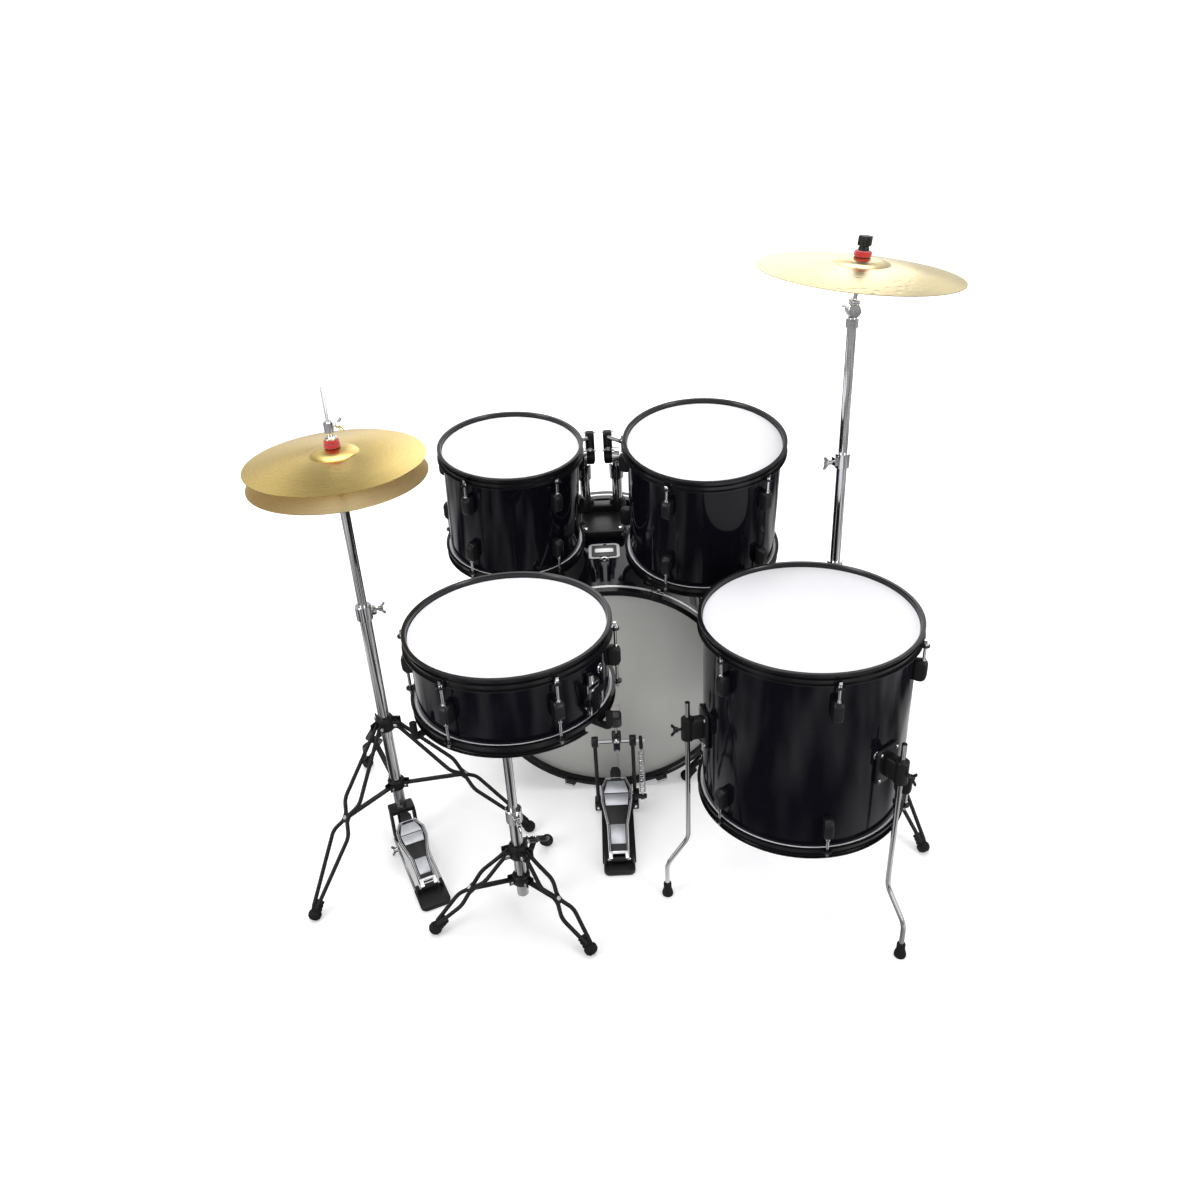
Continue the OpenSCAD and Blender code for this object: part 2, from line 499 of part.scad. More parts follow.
// Tripod about the Z axis: collar above, ring below, three legs with braces and rubber boots
module tripod(foot_r, collar_z, ring_z, from, neck_part = 0.5, tube_r = tube_big_r) {
    hub = 24;
    a = [hub, 0, collar_z];
    f = [foot_r - 10, 0, 26];
    v = f - a;
    l = norm(v);
    pitch = atan2(-v[2], v[0]);
    neck = a + v * neck_part;
    difference() {
        union() {
            translate([0, 0, collar_z - 15]) cylinder(r = 21, h = 32);
            translate([0, 0, ring_z - 11]) cylinder(r = 19, h = 22);
            for (i = [0:2]) rotate(from + 120 * i) {
                translate([18, 0, collar_z]) cube([20, 18, 18], center = true);
                translate([17, 0, ring_z]) cube([18, 16, 16], center = true);
            }
        }
        translate([0, 0, -1]) cylinder(r = tube_r - 0.01, h = collar_z + 60);
    }
    for (i = [0:2]) rotate(from + 120 * i) {
        translate(a) rotate([0, pitch, 0]) double_bar_leg(l, l * neck_part, 36, 38);
        // brace from the ring to the leg's neck
        b0 = [22, 0, ring_z];
        w = neck - b0;
        translate(b0) rotate([0, -atan2(w[2], w[0]), 0]) translate([norm(w) / 2, 0, 0])
            cube([norm(w), 14, 5], center = true);
        // boot
        translate(f) rotate([0, 90 + pitch, 0]) translate([0, 0, -16]) cylinder(r = 12.5, h = 22, $fn = 32);
        translate([foot_r - 4, 0, 14]) sphere(r = 14, $fn = 48);
    }
}
// Clamp at the mouth of a tube, with its wing bolt facing angle a
module tube_clamp(z, r, bore, a, tall = 34) {
    difference() {
        union() { translate([0, 0, z - tall]) cylinder(r = r + 4.5, h = tall);
            rotate(a) translate([0, 0, z - tall / 2]) translate([r + 2, 0, 0]) cube([18, 14, 18], center = true); }
        translate([0, 0, z - tall - 1]) cylinder(r = bore, h = tall + 2);
    }
    rotate(a) translate([r + 10, 0, z - tall / 2]) wing_bolt(8);
}
module hollow(r, bore, z0, z1) { difference() {
    translate([0, 0, z0]) cylinder(r = r, h = z1 - z0);
    translate([0, 0, z0 + 4]) cylinder(r = bore, h = z1 - z0);
} }

// Snare stand
snare_foot_r = 204;
snare_legs_from = 197.3;
snare_seat = snare_at[2] - snare_depth - 10.4;   // under the snare's bottom hoop
snare_tube_top = 272;
basket_hub = snare_seat - 48;
module at_snare_stand() { translate([snare_stand_at[0], snare_stand_at[1], 0]) children(); }
module snare_stand_base() { color([0.1, 0.1, 0.105]) at_snare_stand() {
    tripod(snare_foot_r, 172, 92, snare_legs_from, 0.5);
    hollow(tube_big_r, tube_small_r + run, 46, snare_tube_top);
    tube_clamp(snare_tube_top + 16, tube_big_r, tube_small_r + run, -70, 34);
} }
module snare_stand_tube() { color([0.78, 0.78, 0.8]) at_snare_stand() difference() {
    union() {
        translate([0, 0, 130]) cylinder(r = tube_small_r, h = basket_hub - 36 - 130);
        translate([0, 0, basket_hub - 52]) cylinder(r = 14, h = 26);
        translate([0, 0, basket_hub - 12]) rotate([90, 0, 0]) cylinder(r = 16, h = 14, center = true);
    }
    translate([0, 0, basket_hub - 12]) rotate([90, 0, 0]) cylinder(r = 4 + run, h = 40, center = true, $fn = 32);
} }
// Basket: yoke on the tilter's pin, three arms out to rubber-tipped fingers
module basket_arm(reach) {
    rotate([90, 0, 0]) linear_extrude(10, center = true) polygon([[8, 14], [8, 24], [reach - 16, 45],
        [reach + 12, 46.8], [reach + 12, 40], [60, 16], [40, 14]]);
    translate([reach - 2, 0, 46.2]) cube([34, 14, 3], center = true);
    translate([reach + 16.4, 0, 56]) cube([11, 15, 34], center = true);
}
module snare_basket() { color([0.09, 0.09, 0.095]) {
    at_snare_stand() translate([0, 0, basket_hub]) {
        for (s = [-1, 1]) translate([0, s * 12, -4]) rotate([90, 0, 0]) linear_extrude(9, center = true)
            polygon([[-14, -20], [14, -20], [14, 20], [-14, 20]]);
        translate([0, 0, 18]) cylinder(r = 22, h = 12);
        translate([0, 0, -12]) rotate([90, 0, 0]) cylinder(r = 4, h = 44, center = true, $fn = 32);
        translate([0, -16, -12]) rotate([0, 0, -90]) wing_bolt(8);
    }
    for (a = [90, 210, 330]) {
        hub = [snare_stand_at[0], snare_stand_at[1], basket_hub];
        rim = [snare_at[0] + (snare_d / 2 + 4) * cos(a), snare_at[1] + (snare_d / 2 + 4) * sin(a)];
        v = rim - [hub[0], hub[1]];
        translate(hub) rotate(atan2(v[1], v[0])) basket_arm(norm(v));
    }
} }

// ---- cymbals, as one thin wall from the hole to the rim ----
function bow(x, r, bell_r, rise, bell_h) = x < bell_r
    ? rise + bell_h * sqrt(max(0, 1 - pow(x / bell_r, 2) * 0.96)) - bell_h * 0.2
    : rise * (1 - pow((x - bell_r) / (r - bell_r), 1.5));
module cymbal(d, rise, bell_d, bell_h, thick) {
    r = d / 2;
    xs = concat([6.5], [for (i = [1:8]) 6.5 + (bell_d / 2 - 6.5) * sin(i * 11.25)],
                [for (i = [1:12]) bell_d / 2 + (r - bell_d / 2) * i / 12]);
    top = [for (x = xs) [x, bow(x, r, bell_d / 2, rise, bell_h) + thick]];
    low = [for (i = [len(xs) - 1:-1:0]) [xs[i], bow(xs[i], r, bell_d / 2, rise, bell_h)]];
    rotate_extrude() polygon(concat(top, low));
}

// Hi-hat stand
hat_foot_r = 310;
hat_legs_from = 238.2;
hat_tube_top = 628;
hat_rim = 935;                         // rim of the bottom cymbal
hat_rise = 16;
hat_bell = 14;
hat_wall = 1.3;
hat_dome = hat_rise + 0.8 * hat_bell;  // rim to the flat of the bell
hat_seat = hat_rim - hat_dome - hat_wall - 0.2;
hat_top = hat_rim + hat_gap;
hat_rod_top = 1121;
module at_hat() { translate([hat_at[0], hat_at[1], 0]) children(); }
hat_pedal_turn = 24;                   // footboard's direction, from -Y towards +X
module in_hat_pedal() { at_hat() rotate(hat_pedal_turn) children(); }
hat_heel = [0, -212, 20];
module hihat_base() { color([0.1, 0.1, 0.105]) {
    at_hat() {
        tripod(hat_foot_r, 335, 160, hat_legs_from, 0.5);
        difference() {
            translate([0, 0, 34]) cylinder(r = tube_big_r, h = hat_tube_top - 34);
            translate([0, 0, 33]) cylinder(r = 6, h = 100);
            translate([0, 0, 120]) cylinder(r = tube_small_r + run, h = hat_tube_top);
        }
        tube_clamp(hat_tube_top + 16, tube_big_r, tube_small_r + run, 20, 34);
    }
    in_hat_pedal() {
        // pedal frame: side plates down from the tube to the radius rods and heel plate
        for (s = [-1, 1]) translate([s * 27, -6, 40]) cube([5, 34, 80], center = true);
        difference() {
            translate([0, 0, 84]) cube([59, 34, 12], center = true);
            translate([0, 0, 60]) cylinder(r = tube_big_r - 0.01, h = 40);
        }
        for (s = [-1, 1]) bar([s * 31, -12, 8], [s * 31, hat_heel[1], 6], 3.2);
        translate([0, hat_heel[1] - 20, 0]) plate(70, 72, 8, 6);
        for (s = [-1, 1]) translate([s * 27, hat_heel[1], 14]) cube([8, 14, 24], center = true);
        bar([-30, hat_heel[1], hat_heel[2]], [30, hat_heel[1], hat_heel[2]], 3);
    }
} }
module hihat_tube() { color([0.8, 0.8, 0.82]) at_hat() {
    difference() {
        union() {
            translate([0, 0, 300]) cylinder(r = tube_small_r, h = hat_seat - 20 - 300);
            translate([0, 0, hat_seat - 34]) cylinder(r = 14, h = 24);
            translate([0, 0, hat_seat - 10.5]) cylinder(r = 19, h = 10.5);
        }
        translate([0, 0, 280]) cylinder(r = 5, h = 900, $fn = 48);
    }
} }
module hihat_bottom_cymbal() { color([0.72, 0.58, 0.28]) at_hat()
    translate([0, 0, hat_rim]) mirror([0, 0, 1]) cymbal(hat_d, hat_rise, 100, hat_bell, hat_wall); }
module hihat_top_cymbal() { color([0.74, 0.6, 0.3]) at_hat()
    translate([0, 0, hat_top]) cymbal(hat_d, hat_rise, 100, hat_bell, hat_wall); }
module hihat_rod() { color([0.8, 0.8, 0.82]) at_hat() {
    top = hat_top + hat_dome;
    translate([0, 0, 70]) cylinder(r = 3, h = hat_rod_top - 70);
    // clutch: nut under the cymbal, two felts, sleeve and its screw
    translate([0, 0, top - 14]) cylinder(r = 6, h = 58);
    translate([0, 0, top - 15]) cylinder(r = 14, h = 8);
    translate([0, 0, top - 6.8]) cylinder(r = 14, h = 5.2);
    translate([0, 0, top + 1.8]) cylinder(r = 16, h = 9);
    translate([0, 0, top + 10.7]) cylinder(r = 12, h = 7);
    translate([0, 0, top + 32]) cylinder(r = 9, h = 22);
    rotate(30) translate([8, 0, top + 42]) wing_bolt(6);
} }
// Footboard, from its heel pin to the toe, lying along +Y and rising by the angle up
module footboard(l, toe_w, heel_w, up) {
    rotate([up, 0, 0]) difference() {
        union() {
            linear_extrude(7) polygon([[-heel_w / 2, 8], [-heel_w / 2 + 6, 2], [heel_w / 2 - 6, 2], [heel_w / 2, 8],
            [toe_w / 2, l * 0.62], [toe_w / 2, l * 0.84], [toe_w / 2 - 14, l * 0.93], [9, l * 0.95], [9, l],
            [-9, l], [-9, l * 0.95], [-toe_w / 2 + 14, l * 0.93], [-toe_w / 2, l * 0.84], [-toe_w / 2, l * 0.62]]);
            rotate([0, 90, 0]) cylinder(r = 6.5, h = 40, center = true);
        }
        rotate([0, 90, 0]) cylinder(r = 3 + run, h = 60, center = true, $fn = 32);
    }
}
hat_board_up = 20;
module hihat_footboard() { color([0.12, 0.12, 0.125]) in_hat_pedal() translate(hat_heel) {
    footboard(196, 68, 42, hat_board_up);
} }

// Crash stand
crash_foot_r = 350;
crash_legs_from = 300.7;
crash_low_top = 604;
crash_mid_top = 862;
crash_pivot = 1170;
crash_rim = 72;                        // pivot to the plane of the crash's rim
crash_rise = 18;
crash_bell = 14;
crash_wall = 1.2;
crash_stem = crash_rim + crash_rise + 0.8 * crash_bell;   // pivot to the underside of the bell
module at_crash() { translate([crash_at[0], crash_at[1], 0]) children(); }
module crash_stand_base() { color([0.1, 0.1, 0.105]) at_crash() {
    tripod(crash_foot_r, 380, 190, crash_legs_from, 0.5);
    hollow(tube_big_r, tube_mid_r + run, 120, crash_low_top - 10);
    tube_clamp(crash_low_top + 8, tube_big_r, tube_mid_r + run, 200, 36);
} }
module crash_stand_middle_tube() { color([0.8, 0.8, 0.82]) at_crash() {
    hollow(tube_mid_r, tube_small_r + run, 380, crash_mid_top - 10);
    tube_clamp(crash_mid_top + 6, tube_mid_r, tube_small_r + run, 200, 32);
} }
module crash_stand_top_tube() { color([0.8, 0.8, 0.82]) at_crash() difference() {
    union() {
        translate([0, 0, 640]) cylinder(r = tube_small_r, h = crash_pivot - 14 - 640);
        translate([0, 0, crash_pivot - 34]) cylinder(r = 12.5, h = 18.5);
        translate([0, 0, crash_pivot]) rotate([90, 0, 0]) cylinder(r = 14, h = 12, center = true);
    }
    translate([0, 0, crash_pivot]) rotate([90, 0, 0]) cylinder(r = 4 + run, h = 40, center = true, $fn = 32);
} }
module crash_tilter() { color([0.5, 0.5, 0.52]) at_crash() translate([0, 0, crash_pivot]) {
    for (s = [-1, 1]) translate([0, s * 10.6, 0]) rotate([90, 0, 0]) cylinder(r = 13.5, h = 9, center = true);
    rotate([90, 0, 0]) cylinder(r = 4, h = 36, center = true, $fn = 32);
    translate([0, 13, 0]) rotate([0, 0, 90]) wing_bolt(9);
    rotate([0, crash_tilt, 0]) {
        difference() {
            translate([-8, -15, 9]) cube([16, 30, 10]);
            rotate([90, 0, 0]) cylinder(r = 14.4, h = 12.4, center = true);
        }
        translate([0, 0, 17]) cylinder(r = 4, h = crash_stem + 10);
        translate([0, 0, crash_stem - 16]) cylinder(r = 15, h = 4);
        translate([0, 0, crash_stem - 12.1]) cylinder(r = 17, h = 11);
        translate([0, 0, crash_stem + 1.8]) cylinder(r = 17, h = 11);
        translate([0, 0, crash_stem + 12.7]) cylinder(r = 9, h = 8);
        translate([0, 0, crash_stem + 20]) cylinder(r = 14, h = 21, $fn = 48);
    }
} }
module crash_cymbal() { color([0.8, 0.7, 0.42]) at_crash() translate([0, 0, crash_pivot])
    rotate([0, crash_tilt, 0]) translate([0, 0, crash_rim])
        cymbal(crash_d, crash_rise, 115, crash_bell, crash_wall); }

// ---- kick pedal ----
kick_heel = [0, -272, 20];
kick_axle = [0, -72, 204];
kick_beater_lean = 26.7;
kick_beater_len = 128;
kick_beater_x = 7;
kick_board_up = 18.4;
post_x = 45;
module kick_frame() { color([0.1, 0.1, 0.105]) {
    translate([0, -141, 0]) plate(80, 326, 4, 8);
    translate([0, -272, 4]) difference() {
        translate([0, -16, 4]) cube([66, 44, 8], center = true);
        translate([0, 12, 8]) cube([44, 20, 20], center = true);
    }
    for (s = [-1, 1]) translate([s * 30, -272, 16]) cube([8, 14, 24], center = true);
    bar([-33, kick_heel[1], kick_heel[2]], [33, kick_heel[1], kick_heel[2]], 3);
    // posts on the plate, with the axle's bearing housings
    difference() {
        union() {
            for (s = [-1, 1]) {
                translate([s * post_x, kick_axle[1], 103]) cube([10, 20, 202], center = true);
                translate([s * post_x, kick_axle[1], kick_axle[2]]) rotate([0, 90, 0])
                    cylinder(r = 12, h = 14, center = true);
            }
            translate([0, kick_axle[1] + 4, 5]) cube([2 * post_x + 10, 28, 10], center = true);
        }
        translate([0, kick_axle[1], kick_axle[2]]) rotate([0, 90, 0])
            cylinder(r = 5 + run, h = 200, center = true, $fn = 48);
    }
    // lower spring anchor
    translate([post_x + 12, kick_axle[1] - 24, 52]) cube([34, 8, 8], center = true);
    translate([post_x + 5, kick_axle[1] - 12, 52]) cube([10, 26, 10], center = true);
    // jaw that grips the bass drum's hoop
    translate([0, 8, 4]) linear_extrude(1.6) polygon(rounded(64, 34, 4));
    translate([0, -12, 14]) cube([44, 14, 22], center = true);
    translate([0, -5.2, 20]) cube([40, 4, 30], center = true);
} }
module kick_footboard() { color([0.12, 0.12, 0.125]) {
    translate(kick_heel) footboard(244, 76, 50, kick_board_up);
    // chain from the toe up to the cam
    translate([kick_beater_x, kick_axle[1] + 27.5, 146]) cube([9, 5, 108], center = true);
} }
module kick_beater() { color([0.3, 0.3, 0.31]) translate(kick_axle) {
    rotate([0, 90, 0]) translate([0, 0, -post_x - 10]) cylinder(r = 5, h = 2 * post_x + 40);
    // chain cam and its hub
    translate([kick_beater_x, 0, 0]) rotate([0, 90, 0]) cylinder(r = 24, h = 14, center = true);
    rotate([kick_beater_lean, 0, 0]) {
        translate([kick_beater_x, 0, 10]) cylinder(r = 4, h = kick_beater_len + 8);
        translate([kick_beater_x, 0, 20]) cube([20, 16, 20], center = true);
        translate([kick_beater_x, 0, kick_beater_len - 24]) linear_extrude(48) polygon(rounded(30, 40, 12));
    }
    // spring rocker outside the right post
    translate([post_x + 19, -10, 0]) cube([8, 40, 10], center = true);
} }
spring_at = [post_x + 19, kick_axle[1] - 24];
module kick_spring() { color([0.75, 0.75, 0.78]) translate([spring_at[0], spring_at[1], 57]) {
    cylinder(r = 8, h = 141.8);
} }

bass_drum_shell();
bass_drum_heads();
bass_drum_hoops();
bass_drum_lugs();
bass_drum_claws();
tom_holder();
spur_brackets();
left_spur();
right_spur();
left_tom_tube();
left_tom_arm();
left_tom_shell();
left_tom_heads();
left_tom_hoops();
left_tom_lugs();
left_tom_rods();
left_tom_bracket();
right_tom_tube();
right_tom_arm();
right_tom_shell();
right_tom_heads();
right_tom_hoops();
right_tom_lugs();
right_tom_rods();
right_tom_bracket();
floor_tom_shell();
floor_tom_heads();
floor_tom_hoops();
floor_tom_lugs();
floor_tom_rods();
floor_tom_brackets();
floor_tom_leg_1();
floor_tom_leg_2();
floor_tom_leg_3();
snare_shell();
snare_heads();
snare_hoops();
snare_lugs();
snare_rods();
snare_wires();
snare_strainer();
snare_lever();
snare_stand_base();
snare_stand_tube();
snare_basket();
hihat_base();
hihat_tube();
hihat_bottom_cymbal();
hihat_rod();
hihat_top_cymbal();
hihat_footboard();
crash_stand_base();
crash_stand_middle_tube();
crash_stand_top_tube();
crash_tilter();
crash_cymbal();
kick_frame();
kick_footboard();
kick_beater();
kick_spring();
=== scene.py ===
"""Looks for the drum kit: studio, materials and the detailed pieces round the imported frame.

Piece.done() scales them to metres.
"""
import math

import bmesh
import bpy
from mathutils import Matrix, Vector


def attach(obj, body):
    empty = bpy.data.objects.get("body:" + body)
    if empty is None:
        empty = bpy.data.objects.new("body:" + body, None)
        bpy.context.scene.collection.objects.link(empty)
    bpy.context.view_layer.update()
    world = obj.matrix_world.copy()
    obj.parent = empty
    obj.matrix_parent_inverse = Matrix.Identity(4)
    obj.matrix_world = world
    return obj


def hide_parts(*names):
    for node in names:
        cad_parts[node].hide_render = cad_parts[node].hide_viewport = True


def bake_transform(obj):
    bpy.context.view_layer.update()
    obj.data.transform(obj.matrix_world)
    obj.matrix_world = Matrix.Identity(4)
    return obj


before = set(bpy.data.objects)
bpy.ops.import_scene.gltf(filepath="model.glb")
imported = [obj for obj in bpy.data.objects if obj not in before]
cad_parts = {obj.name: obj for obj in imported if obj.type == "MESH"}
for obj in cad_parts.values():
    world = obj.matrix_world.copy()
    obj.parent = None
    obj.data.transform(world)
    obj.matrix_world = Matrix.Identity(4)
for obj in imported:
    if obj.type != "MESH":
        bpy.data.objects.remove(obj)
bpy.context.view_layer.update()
MM = 0.001
UP = Vector((0, 0, 1))


# ---- small helpers ----
def sin(a):
    return math.sin(math.radians(a))


def cos(a):
    return math.cos(math.radians(a))


def at(*p):
    return Matrix.Translation(Vector(p))


def turn(a, axis="Z"):
    return Matrix.Rotation(math.radians(a), 4, axis)


def along(a, b):
    """Matrix whose origin is a and whose Z runs towards b."""
    v = Vector(b) - Vector(a)
    return at(*a) @ v.to_track_quat("Z", "Y").to_matrix().to_4x4()


def arc(cx, cy, r, a0, a1, n=6):
    angles = [a0 + (a1 - a0) * i / n for i in range(n + 1)]
    return [(cx + r * cos(a), cy + r * sin(a)) for a in angles]


def rounded(w, h, r, n=5):
    """A rectangle's outline with round corners."""
    x, y = w / 2 - r, h / 2 - r
    corners = ((x, y), (-x, y), (-x, -y), (x, -y))
    return [p for i, (cx, cy) in enumerate(corners) for p in arc(cx, cy, r, 90 * i, 90 * (i + 1), n)]


def fillet(points, r, n=6):
    """The polyline with each inner corner rounded."""
    pts = [Vector(p) for p in points]
    out = [pts[0]]
    for a, b, c in zip(pts, pts[1:], pts[2:]):
        u, v = a - b, c - b
        cut = min(r, u.length * 0.45, v.length * 0.45)
        p, q = b + u.normalized() * cut, b + v.normalized() * cut
        out += [p.lerp(b, t).lerp(b.lerp(q, t), t) for t in (i / n for i in range(n + 1))]
    return out + [pts[-1]]


class Piece:
    """Collects solids, then becomes one Blender object with one material."""

    def __init__(self, matrix=Matrix()):
        self.bm = bmesh.new()
        self.matrix = matrix

    def skin(self, rings, m=Matrix(), loop=True, caps=True):
        """Joins rings of points, each as long as the last, into a closed skin."""
        m = self.matrix @ m
        rows = [[self.bm.verts.new(m @ Vector(p)) for p in ring] for ring in rings]
        n = len(rows[0])
        for low, high in zip(rows, rows[1:]):
            for i in range(n if loop else n - 1):
                j = (i + 1) % n
                self.bm.faces.new((low[i], low[j], high[j], high[i]))
        if caps:
            self.bm.faces.new(rows[0][::-1])
            self.bm.faces.new(rows[-1])
        return self

    def lathe(self, profile, m=Matrix(), n=40, open_ends=False):
        """Turns (radius, height) points about Z."""
        rings = [[(max(r, 0.02) * cos(360 * i / n), max(r, 0.02) * sin(360 * i / n), z) for i in range(n)]
                 for r, z in profile]
        if open_ends:
            rings.append(rings[0])
        return self.skin(rings, m, caps=not open_ends)

    def rod(self, a, b, r, bevel=0.8, n=24):
        h = (Vector(b) - Vector(a)).length
        e = min(bevel, r * 0.5, h * 0.3)
        return self.lathe([(r - e, 0), (r, e), (r, h - e), (r - e, h)], along(a, b), n)

    def ball(self, c, r, n=20):
        return self.lathe([(r * cos(t), r * sin(t)) for t in range(-90, 91, 15)], at(*c), n)

    def tube(self, points, r, bend=12, n=14, m=Matrix()):
        """A round bar along the points, with its corners bent."""
        path = fillet(points, bend)
        normal = None
        rings = []
        for i, p in enumerate(path):
            d = (path[min(i + 1, len(path) - 1)] - path[max(i - 1, 0)]).normalized()
            if normal is None:
                side = UP if abs(d.z) < 0.9 else Vector((1, 0, 0))
                normal = d.cross(side).normalized()
            normal = (normal - d * normal.dot(d)).normalized()
            other = d.cross(normal)
            turns = (360 * k / n for k in range(n))
            rings.append([p + normal * (r * cos(a)) + other * (r * sin(a)) for a in turns])
        return self.skin(rings, m)

    def ring(self, points, r, n=10, m=Matrix()):
        """A round bar along a closed loop of points."""
        pts = [Vector(p) for p in points]
        k = len(pts)
        rings = []
        for i, p in enumerate(pts):
            d = (pts[(i + 1) % k] - pts[i - 1]).normalized()
            side = d.cross(UP).normalized() if abs(d.z) < 0.9 else d.cross(Vector((1, 0, 0))).normalized()
            other = d.cross(side)
            turns = (360 * j / n for j in range(n))
            rings.append([p + side * (r * cos(a)) + other * (r * sin(a)) for a in turns])
        rings.append(rings[0])
        return self.skin(rings, m, caps=False)

    def plate(self, outline, h, m=Matrix(), bevel=1.0, steps=3):
        """An outline given some height, its edges rounded."""
        pts = [Vector((x, y)) for x, y in outline]
        k = len(pts)
        area = sum(pts[i - 1].x * pts[i].y - pts[i].x * pts[i - 1].y for i in range(k))
        turned = 1 if area > 0 else -1
        inward = []
        for i, p in enumerate(pts):
            a, b = (p - pts[i - 1]), (pts[(i + 1) % k] - p)
            na = Vector((-a.y, a.x)).normalized()
            nb = Vector((-b.y, b.x)).normalized()
            mid = (na + nb) / max(1.0, 1 + na.dot(nb))
            inward.append(mid * turned)
        slopes = [90 * s / steps for s in range(steps + 1)]
        levels = [(bevel * (1 - sin(a)), bevel * (1 - cos(a))) for a in slopes]
        levels += [(i, h - z) for i, z in reversed(levels)]
        rings = [[(p.x + w.x * i, p.y + w.y * i, z) for p, w in zip(pts, inward)] for i, z in levels]
        if turned < 0:
            rings = [r[::-1] for r in rings]
        return self.skin(rings, m)

    def box(self, w, l, h, c=(0, 0, 0), m=Matrix(), r=2.0, bevel=1.0):
        return self.plate(rounded(w, l, r), h, m @ at(c[0], c[1], c[2] - h / 2), bevel)

    def wing_bolt(self, m, reach=12):
        """A wing bolt along Z, its thread's end at the matrix's origin."""
        self.lathe([(3, 0), (3, reach)], m, 16)
        self.lathe([(4, reach), (6, reach + 1), (5.5, reach + 8), (3, reach + 10)], m, 20)
        wing = [(-4, 0), (4, 0), (8, 5), (15, 11), (14, 14), (9, 14), (4, 9), (0, 8), (-4, 9), (-9, 14),
                (-14, 14), (-15, 11), (-8, 5)]
        return self.plate(wing, 3.4, m @ at(0, 1.7, reach + 1) @ turn(90, "X"), 1.1, 2)

    def done(self, name, material, body, replaces=(), slot=None):
        """Makes the object, in metres, with its origin at the piece's matrix."""
        bmesh.ops.recalc_face_normals(self.bm, faces=self.bm.faces)
        mesh = bpy.data.meshes.new(name)
        place = self.matrix.copy()
        place.translation *= MM
        local = place.inverted()
        for v in self.bm.verts:
            v.co = local @ (v.co * MM)
        self.bm.to_mesh(mesh)
        self.bm.free()
        mesh.shade_smooth()
        mesh.set_sharp_from_angle(angle=math.radians(38))
        mesh.materials.append(material)
        obj = bpy.data.objects.new(name, mesh)
        bpy.context.scene.collection.objects.link(obj)
        obj.matrix_world = place
        if body:
            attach(obj, body)
        if replaces:
            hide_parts(*replaces)
        return obj


# ---- materials ----
def new_material(name, color, rough, metallic=0.0):
    mat = bpy.data.materials.new(name)
    mat.use_nodes = True
    nodes = mat.node_tree.nodes
    shader = nodes["Principled BSDF"]
    shader.inputs["Base Color"].default_value = (*color, 1)
    shader.inputs["Roughness"].default_value = rough
    shader.inputs["Metallic"].default_value = metallic
    return mat, mat.node_tree, shader


def noise(tree, scale, detail=4.0, squeeze=(1, 1, 1)):
    """Noise in the object's own metres."""
    coord = tree.nodes.new("ShaderNodeTexCoord")
    mapping = tree.nodes.new("ShaderNodeMapping")
    mapping.inputs["Scale"].default_value = squeeze
    tex = tree.nodes.new("ShaderNodeTexNoise")
    tex.inputs["Scale"].default_value = scale
    tex.inputs["Detail"].default_value = detail
    tree.links.new(coord.outputs["Object"], mapping.inputs["Vector"])
    tree.links.new(mapping.outputs["Vector"], tex.inputs["Vector"])
    return tex.outputs["Fac"]


def spread(tree, value, low, high):
    node = tree.nodes.new("ShaderNodeMapRange")
    node.inputs["To Min"].default_value = low
    node.inputs["To Max"].default_value = high
    tree.links.new(value, node.inputs["Value"])
    return node.outputs["Result"]


def tint(tree, value, dark, light):
    node = tree.nodes.new("ShaderNodeMix")
    node.data_type = "RGBA"
    node.inputs["A"].default_value = (*dark, 1)
    node.inputs["B"].default_value = (*light, 1)
    tree.links.new(value, node.inputs["Factor"])
    return node.outputs["Result"]


def bump(tree, shader, value, depth_mm, strength=1.0):
    node = tree.nodes.new("ShaderNodeBump")
    node.inputs["Strength"].default_value = strength
    node.inputs["Distance"].default_value = depth_mm * MM
    tree.links.new(value, node.inputs["Height"])
    previous = shader.inputs["Normal"].links
    if previous:
        tree.links.new(previous[0].from_socket, node.inputs["Normal"])
    tree.links.new(node.outputs["Normal"], shader.inputs["Normal"])


def surface(name, color, rough, metallic=0.0, vary=0.15, grain=400.0, depth=0.02, coat=0.0, coat_rough=0.05,
            sheen=0.0, squeeze=(1, 1, 1), detail=4.0, shine=0.5):
    """A material with a little variation of colour and roughness and a fine relief."""
    mat, tree, shader = new_material(name, color, rough, metallic)
    fac = noise(tree, grain, detail, squeeze)
    light = [min(1.0, c * (1 + vary)) for c in color]
    dark = [c * (1 - vary) for c in color]
    tree.links.new(tint(tree, fac, dark, light), shader.inputs["Base Color"])
    cloudy = noise(tree, grain * 0.05 + 6, 3.0)
    tree.links.new(spread(tree, cloudy, rough * 0.75, min(1, rough * 1.3)), shader.inputs["Roughness"])
    if depth:
        bump(tree, shader, fac, depth)
    shader.inputs["Coat Weight"].default_value = coat
    shader.inputs["Coat Roughness"].default_value = coat_rough
    shader.inputs["Sheen Weight"].default_value = sheen
    shader.inputs["Specular IOR Level"].default_value = shine
    return mat


